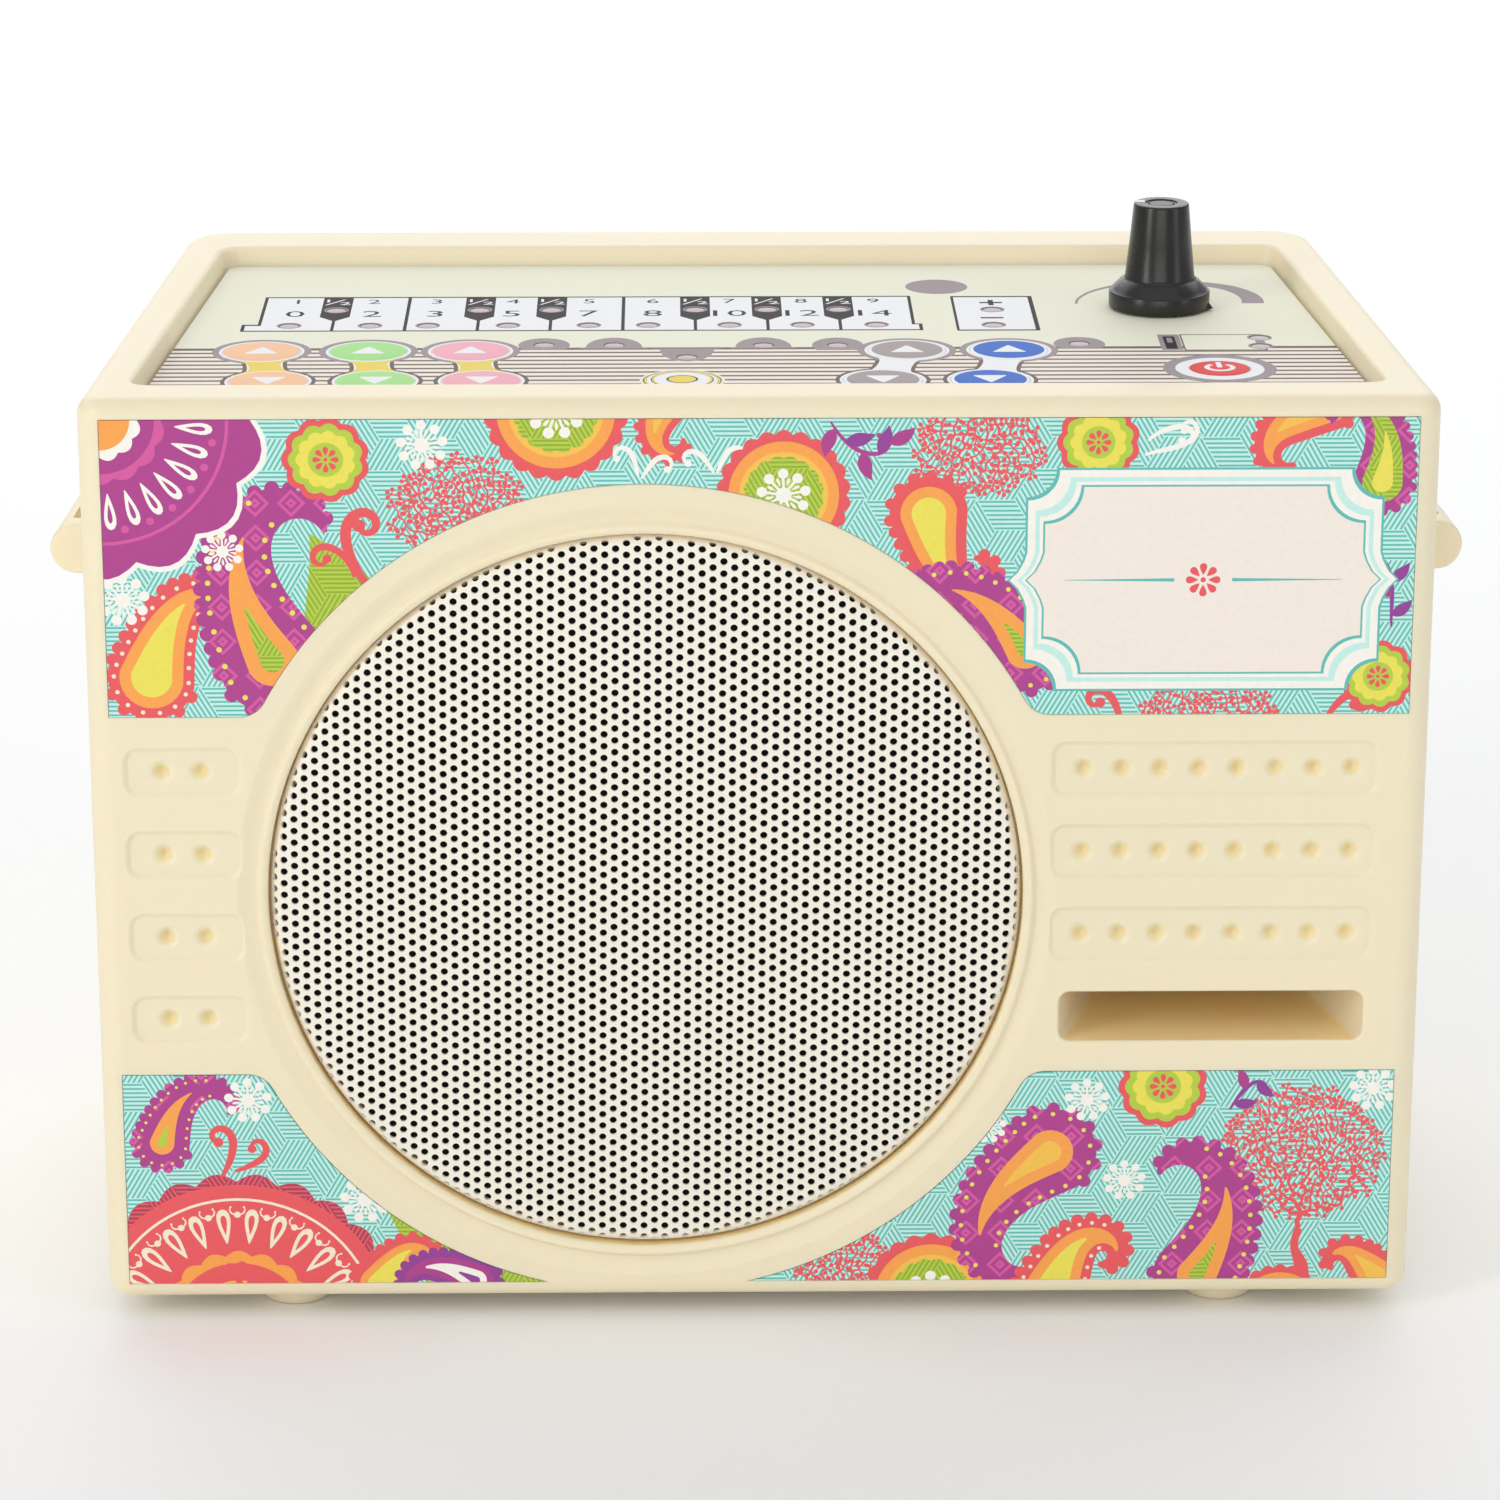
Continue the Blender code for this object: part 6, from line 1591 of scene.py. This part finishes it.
class TANPURA_OT_knob(bpy.types.Operator):
    """Builds the tone knob with its flared skirt, its inset cap and its white mark."""

    bl_idname = "tanpura.knob"
    bl_label = "Tone knob"

    def execute(self, context):
        """Turns the knob and lays its mark in the rim."""
        centre = (KNOB_X, KNOB_Y, PANEL_TOP)
        top = 19.8
        shell = [(0.0, top - 1.2), (2.35, top - 1.2), (2.4, top - 0.9), (2.45, top - 0.35), (2.55, top - 0.3),
                 (2.85, top - 0.3), (2.95, top - 0.2), (3.0, top - 0.05), (3.1, top - 0.03), (4.7, top - 0.03),
                 (4.9, top - 0.08),
                 (5.05, top - 0.22), (5.12, top - 0.5), (5.75, 12.5), (6.4, 6.2), (6.55, 5.75), (6.9, 5.5),
                 (7.4, 5.2), (8.55, 4.0), (8.95, 3.52), (9.12, 3.42), (9.26, 3.34), (9.33, 3.18), (9.33, 0.7),
                 (9.28, 0.45), (9.15, 0.35),
                 (8.0, 0.3), (8.0, 3.2), (3.3, 3.2), (3.3, top - 3.2), (0.0, top - 3.2)]
        knob = turned("tone_knob_shell", shell, centre, 96, [finish("knob")], angle=38.0)
        keep(knob, "knob", "black_plastic", "tone_knob")
        cap = turned("tone_knob_top", [(0.0, top - 0.12), (1.6, top - 0.14), (2.1, top - 0.2), (2.28, top - 0.38),
                                       (2.28, top - 0.9), (0.0, top - 0.9)], centre, 48, [finish("knob_cap")])
        keep(cap, "knob", "knob_cap", "tone_knob_cap")
        mark = loft("tone_knob_mark", [
            [place(KNOB_X - out, KNOB_Y + across, PANEL_TOP + height) for across, height in
             ((0.3, low), (1.9, low), (1.9, high), (0.3, high))]
            for out, low, high in ((3.0, top - 0.3, top), (4.4, top - 0.3, top), (4.75, top - 0.4, top - 0.06))],
            [finish("print_white")])
        keep(mark, "knob", "black_plastic")
        corners = [place(KNOB_X + out * math.cos(turn), KNOB_Y + out * math.sin(turn), PANEL_TOP + height)
                   for out, turn, height in ((9.1, -0.5, 0.4), (9.1, -0.12, 0.4), (10.2, -0.28, 0.4), (9.2, -0.32, 1.8))]
        pointer = mesh_object("tone_knob_pointer", corners, [(0, 2, 3), (2, 1, 3), (1, 0, 3), (0, 1, 2)],
                              [finish("knob")], weld=True)
        keep(pointer, "knob", "black_plastic")
        dress("tone_pot_shaft", "aluminium")
        dress("tone_pot_body", "zinc")
        dress("tone_pot_nut", "zinc")
        return {"FINISHED"}


# Lugs, feet and rear


class TANPURA_OT_lugs(bpy.types.Operator):
    """Builds the strap lugs on the sides, bars with a half-round outer edge and a slot."""

    bl_idname = "tanpura.lugs"
    bl_label = "Strap lugs"

    def execute(self, context):
        """Lofts each bar along the case's side and cuts its slot."""
        angle = math.atan2((WIDTH_FRONT - WIDTH_REAR) / 2, DEPTH)
        middle = LUG_START + LUG_LENGTH / 2
        for name, side in (("strap_lug_left", -1), ("strap_lug_right", 1)):
            turn = Matrix.Translation(place(side_x(middle), middle, LUG_Z)) @ Matrix.Rotation(angle, 4, "Z")
            flip = Matrix.Scale(side, 4, (1.0, 0.0, 0.0))

            def spot(out, along, up):
                """A point beside the case, in mm from the lug's middle on its side."""
                return flip @ turn @ Vector((out * MM, along * MM, up * MM))

            rings = []
            for along, shrink in ((-15.0, 0.7), (-14.8, 0.3), (-14.3, 0.0), (14.3, 0.0), (14.8, 0.3), (15.0, 0.7)):
                half = LUG_THICK / 2 - shrink
                section = [(GAP, -half)] + [(LUG_OUT - LUG_THICK / 2 + x, z) for x, z in arc((0, 0), half, -90, 90, 20)]
                rings.append([spot(out, along, up) for out, up in section + [(GAP, half)]])
            lug = loft(name + "_bar", rings, [finish("case")])
            slot = rectangle(LUG_SLOT[1], LUG_SLOT[0], 1.6, (LUG_BASE + LUG_SLOT[1] / 2, 0.0), 8)
            tool = loft("slot", [[spot(out, along, up) for out, along in slot] for up in (-12.0, 12.0)])
            carve(lug, [(tool, "DIFFERENCE")])
            keep(lug, "case", "cream_plastic", name)
        return {"FINISHED"}


class TANPURA_OT_rear(bpy.types.Operator):
    """Builds the feet, the rear cover's screws and sockets, and finishes the cover."""

    bl_idname = "tanpura.rear"
    bl_label = "Feet and rear"

    def execute(self, context):
        """Turns the feet, screws and sockets."""
        for node, x, depth in FEET:
            profile = [(0.0, -0.3), (6.7, -0.3), (6.8, -0.5), (6.8, -2.4), (6.6, -3.2), (6.1, -3.8), (5.4, -4.0),
                       (0.0, -4.0)]
            foot = turned(node + "_pad", profile, (x, depth, 0.0), 48, [finish("case_rubber")])
            keep(foot, "case", "foot_rubber", node)
        dress("back_cover", "case")
        for number, (x, height) in enumerate(COVER_SCREWS, 1):
            profile = [(0.0, 4.8), (1.2, 4.8), (1.2, 1.4), (2.5, 0.35), (2.6, 0.2), (2.5, 0.05), (2.2, 0.0), (0.0, 0.0)]
            head = turned(f"cover_screw_{number}", profile, (x, DEPTH - 0.1, height), 32, [finish("zinc")], "front")
            turn = math.radians(17.0 * number)
            arms = []
            for quarter in (0.0, math.pi / 2):
                c, s = math.cos(turn + quarter), math.sin(turn + quarter)
                outline = [(x + a * c - b * s, height + a * s + b * c)
                           for a, b in ((-1.5, -0.28), (1.5, -0.28), (1.5, 0.28), (-1.5, 0.28))]
                arms.append(loft("arm", upright_rings([(outline, DEPTH - 1.1), (outline, DEPTH + 0.5)])))
            carve(head, [(arm, "DIFFERENCE") for arm in arms])
            keep(head, "case", "zinc_steel", f"back_cover_screw_{number}")
        for node, x, height, radius, bore in (("dc_socket", 62.0, 24.0, 5.7, 3.2), ("line_out_socket", 40.0, 24.0, 4.7, 1.8)):
            face, near = -(DEPTH - 0.4), -(DEPTH - 14.0)
            profile = [(0.0, near), (radius, near), (radius, face + 0.4), (radius - 0.2, face + 0.1),
                       (radius - 0.5, face), (bore + 0.5, face), (bore + 0.15, face + 0.1), (bore, face + 0.5),
                       (bore, face + 9.0), (0.0, face + 9.0)]
            body = turned("body", profile, (x, 0.0, height), 48, [finish("socket")], "front")
            pin = 1.0 if node == "dc_socket" else 0.0
            if pin:
                tip = [(0.0, face + 1.4), (0.7, face + 1.5), (pin, face + 2.0), (pin, face + 8.9), (0.0, face + 8.9)]
                body = joined("body", [body, turned("pin", tip, (x, 0.0, height), 24, [finish("brass")], "front")])
            body.name = node + "_shell"
            keep(body, "case", "black_plastic", node)
        return {"FINISHED"}


class TANPURA_OT_inside(bpy.types.Operator):
    """Gives the speaker, boards, pack and leads inside the case their materials."""

    bl_idname = "tanpura.inside"
    bl_label = "Parts inside"

    def execute(self, context):
        """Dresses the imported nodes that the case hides."""
        for node, name in (("speaker_basket", "basket"), ("speaker_cone", "paper"), ("speaker_magnet", "ferrite"),
                           ("main_board", "board"), ("heat_sink", "aluminium"), ("battery_pack", "wrap"),
                           ("keypad_lead", "lead"), ("speaker_lead", "lead"), ("battery_lead", "lead"),
                           ("main_board_screw_1", "zinc"), ("main_board_screw_2", "zinc")):
            dress(node, name)
        for number in range(1, 5):
            dress(f"speaker_screw_{number}", "zinc")
        return {"FINISHED"}


# Stage

CAMERA_AT = (-0.0156, -0.9677, 0.4041)
CAMERA_YAW = 0.881
CAMERA_PITCH = 18.18
CAMERA_ROLL = 0.072
CAMERA_LENS = 130.6


def area_light(name, at, towards, size, power, colour):
    """A soft light from a large panel."""
    lamp = bpy.data.lights.new(name, "AREA")
    lamp.shape = "RECTANGLE"
    lamp.size, lamp.size_y = size
    lamp.energy = power
    lamp.color = linear(colour)
    obj = bpy.data.objects.new(name, lamp)
    bpy.context.scene.collection.objects.link(obj)
    obj.location = at
    obj.rotation_euler = (Vector(towards) - Vector(at)).to_track_quat("-Z", "Y").to_euler()


class TANPURA_OT_stage(bpy.types.Operator):
    """Sets the pale floor, the soft studio light and the camera."""

    bl_idname = "tanpura.stage"
    bl_label = "Stage"

    def execute(self, context):
        """Lays the floor, hangs the lights and places the camera."""
        scene = context.scene
        floor = mesh_object("floor", [(-4.0, -3.0, 0.0), (4.0, -3.0, 0.0), (4.0, 5.0, 0.0), (-4.0, 5.0, 0.0)],
                            [(0, 1, 2, 3)])
        # Seamless paper, calendered: a pale matt sheet whose fine tooth keeps the shadows soft.
        floor.data.materials.append(surface("Paper, calendered", linear("#FCFCFC"), drift=0.004, mottle=200.0, grain=2.0,
                                            rise=0.01, roughness=0.9))
        world = bpy.data.worlds.new("Studio")
        scene.world = world
        world.use_nodes = True
        world.node_tree.nodes["Background"].inputs["Color"].default_value = (*linear("#FAFCFF"), 1.0)
        world.node_tree.nodes["Background"].inputs["Strength"].default_value = 0.5
        scene.view_settings.view_transform = "Standard"
        area_light("key", (-1.33, -1.12, 0.75), (0.0, 0.0, 0.08), (0.4, 1.3), 8.8, "#FFFBF5")
        area_light("front", (-0.1, -2.4, 0.55), (0.0, 0.0, 0.08), (1.6, 0.8), 7.6, "#FFFDFA")
        area_light("fill", (1.45, -0.9, 0.6), (0.0, 0.0, 0.08), (0.4, 1.1), 2.4, "#FFFFFF")
        area_light("top", (0.0, -0.8, 2.0), (0.0, -0.1, 0.0), (2.4, 2.4), 6.8, "#FFFFFF")
        area_light("back", (0.0, 2.6, 0.9), (0.0, 0.0, 0.2), (2.4, 1.6), 12.0, "#FFFFFF")
        area_light("backdrop", (0.0, 2.6, 2.0), (0.0, 2.6, 0.0), (5.0, 3.0), 60.0, "#FFFFFF")
        yaw, pitch, roll = (math.radians(value) for value in (CAMERA_YAW, CAMERA_PITCH, CAMERA_ROLL))
        forward = Vector((math.sin(yaw) * math.cos(pitch), math.cos(yaw) * math.cos(pitch), -math.sin(pitch)))
        right = forward.cross(Vector((0.0, 0.0, 1.0))).normalized()
        upward = right.cross(forward)
        across = right * math.cos(roll) + upward * math.sin(roll)
        upward = across.cross(forward)
        camera = bpy.data.objects.new("camera", bpy.data.cameras.new("camera"))
        scene.collection.objects.link(camera)
        turn = Matrix((across, upward, -forward)).transposed()
        camera.matrix_world = Matrix.Translation(CAMERA_AT) @ turn.to_4x4()
        camera.data.lens = CAMERA_LENS
        camera.data.sensor_width = 36.0
        camera.data.clip_start = 0.05
        camera.data.clip_end = 30.0
        scene.camera = camera
        return {"FINISHED"}


OPERATORS = (TANPURA_OT_case, TANPURA_OT_grille, TANPURA_OT_labels, TANPURA_OT_panel, TANPURA_OT_keys,
             TANPURA_OT_lamps, TANPURA_OT_knob, TANPURA_OT_lugs, TANPURA_OT_rear, TANPURA_OT_inside,
             TANPURA_OT_stage)


class TANPURA_PT_build(bpy.types.Panel):
    """Lists the pieces of the tanpura and their sizes and colours."""

    bl_idname = "TANPURA_PT_build"
    bl_label = "Electronic tanpura"
    bl_space_type = "VIEW_3D"
    bl_region_type = "UI"
    bl_category = "Tanpura"

    def draw(self, context):
        """Draws a button for each piece, then the sizes and colours."""
        for operator in OPERATORS:
            self.layout.operator(operator.bl_idname)
        for group in (context.scene.tanpura_sizes, context.scene.tanpura_colours):
            box = self.layout.box()
            for name in group.bl_rna.properties.keys():
                if name not in ("rna_type", "name"):
                    box.prop(group, name)


CLASSES = (TanpuraSizes, TanpuraColours) + OPERATORS + (TANPURA_PT_build,)


def register():
    """Registers the classes and hangs the settings on the scene."""
    for item in CLASSES:
        bpy.utils.register_class(item)
    bpy.types.Scene.tanpura_sizes = bpy.props.PointerProperty(type=TanpuraSizes)
    bpy.types.Scene.tanpura_colours = bpy.props.PointerProperty(type=TanpuraColours)


def unregister():
    """Takes the settings and classes away."""
    del bpy.types.Scene.tanpura_colours
    del bpy.types.Scene.tanpura_sizes
    for item in reversed(CLASSES):
        bpy.utils.unregister_class(item)


def main():
    """Builds every piece and the stage."""
    register()
    for operator in OPERATORS:
        category, name = operator.bl_idname.split(".")
        getattr(getattr(bpy.ops, category), name)()


if __name__ == "__main__":
    main()
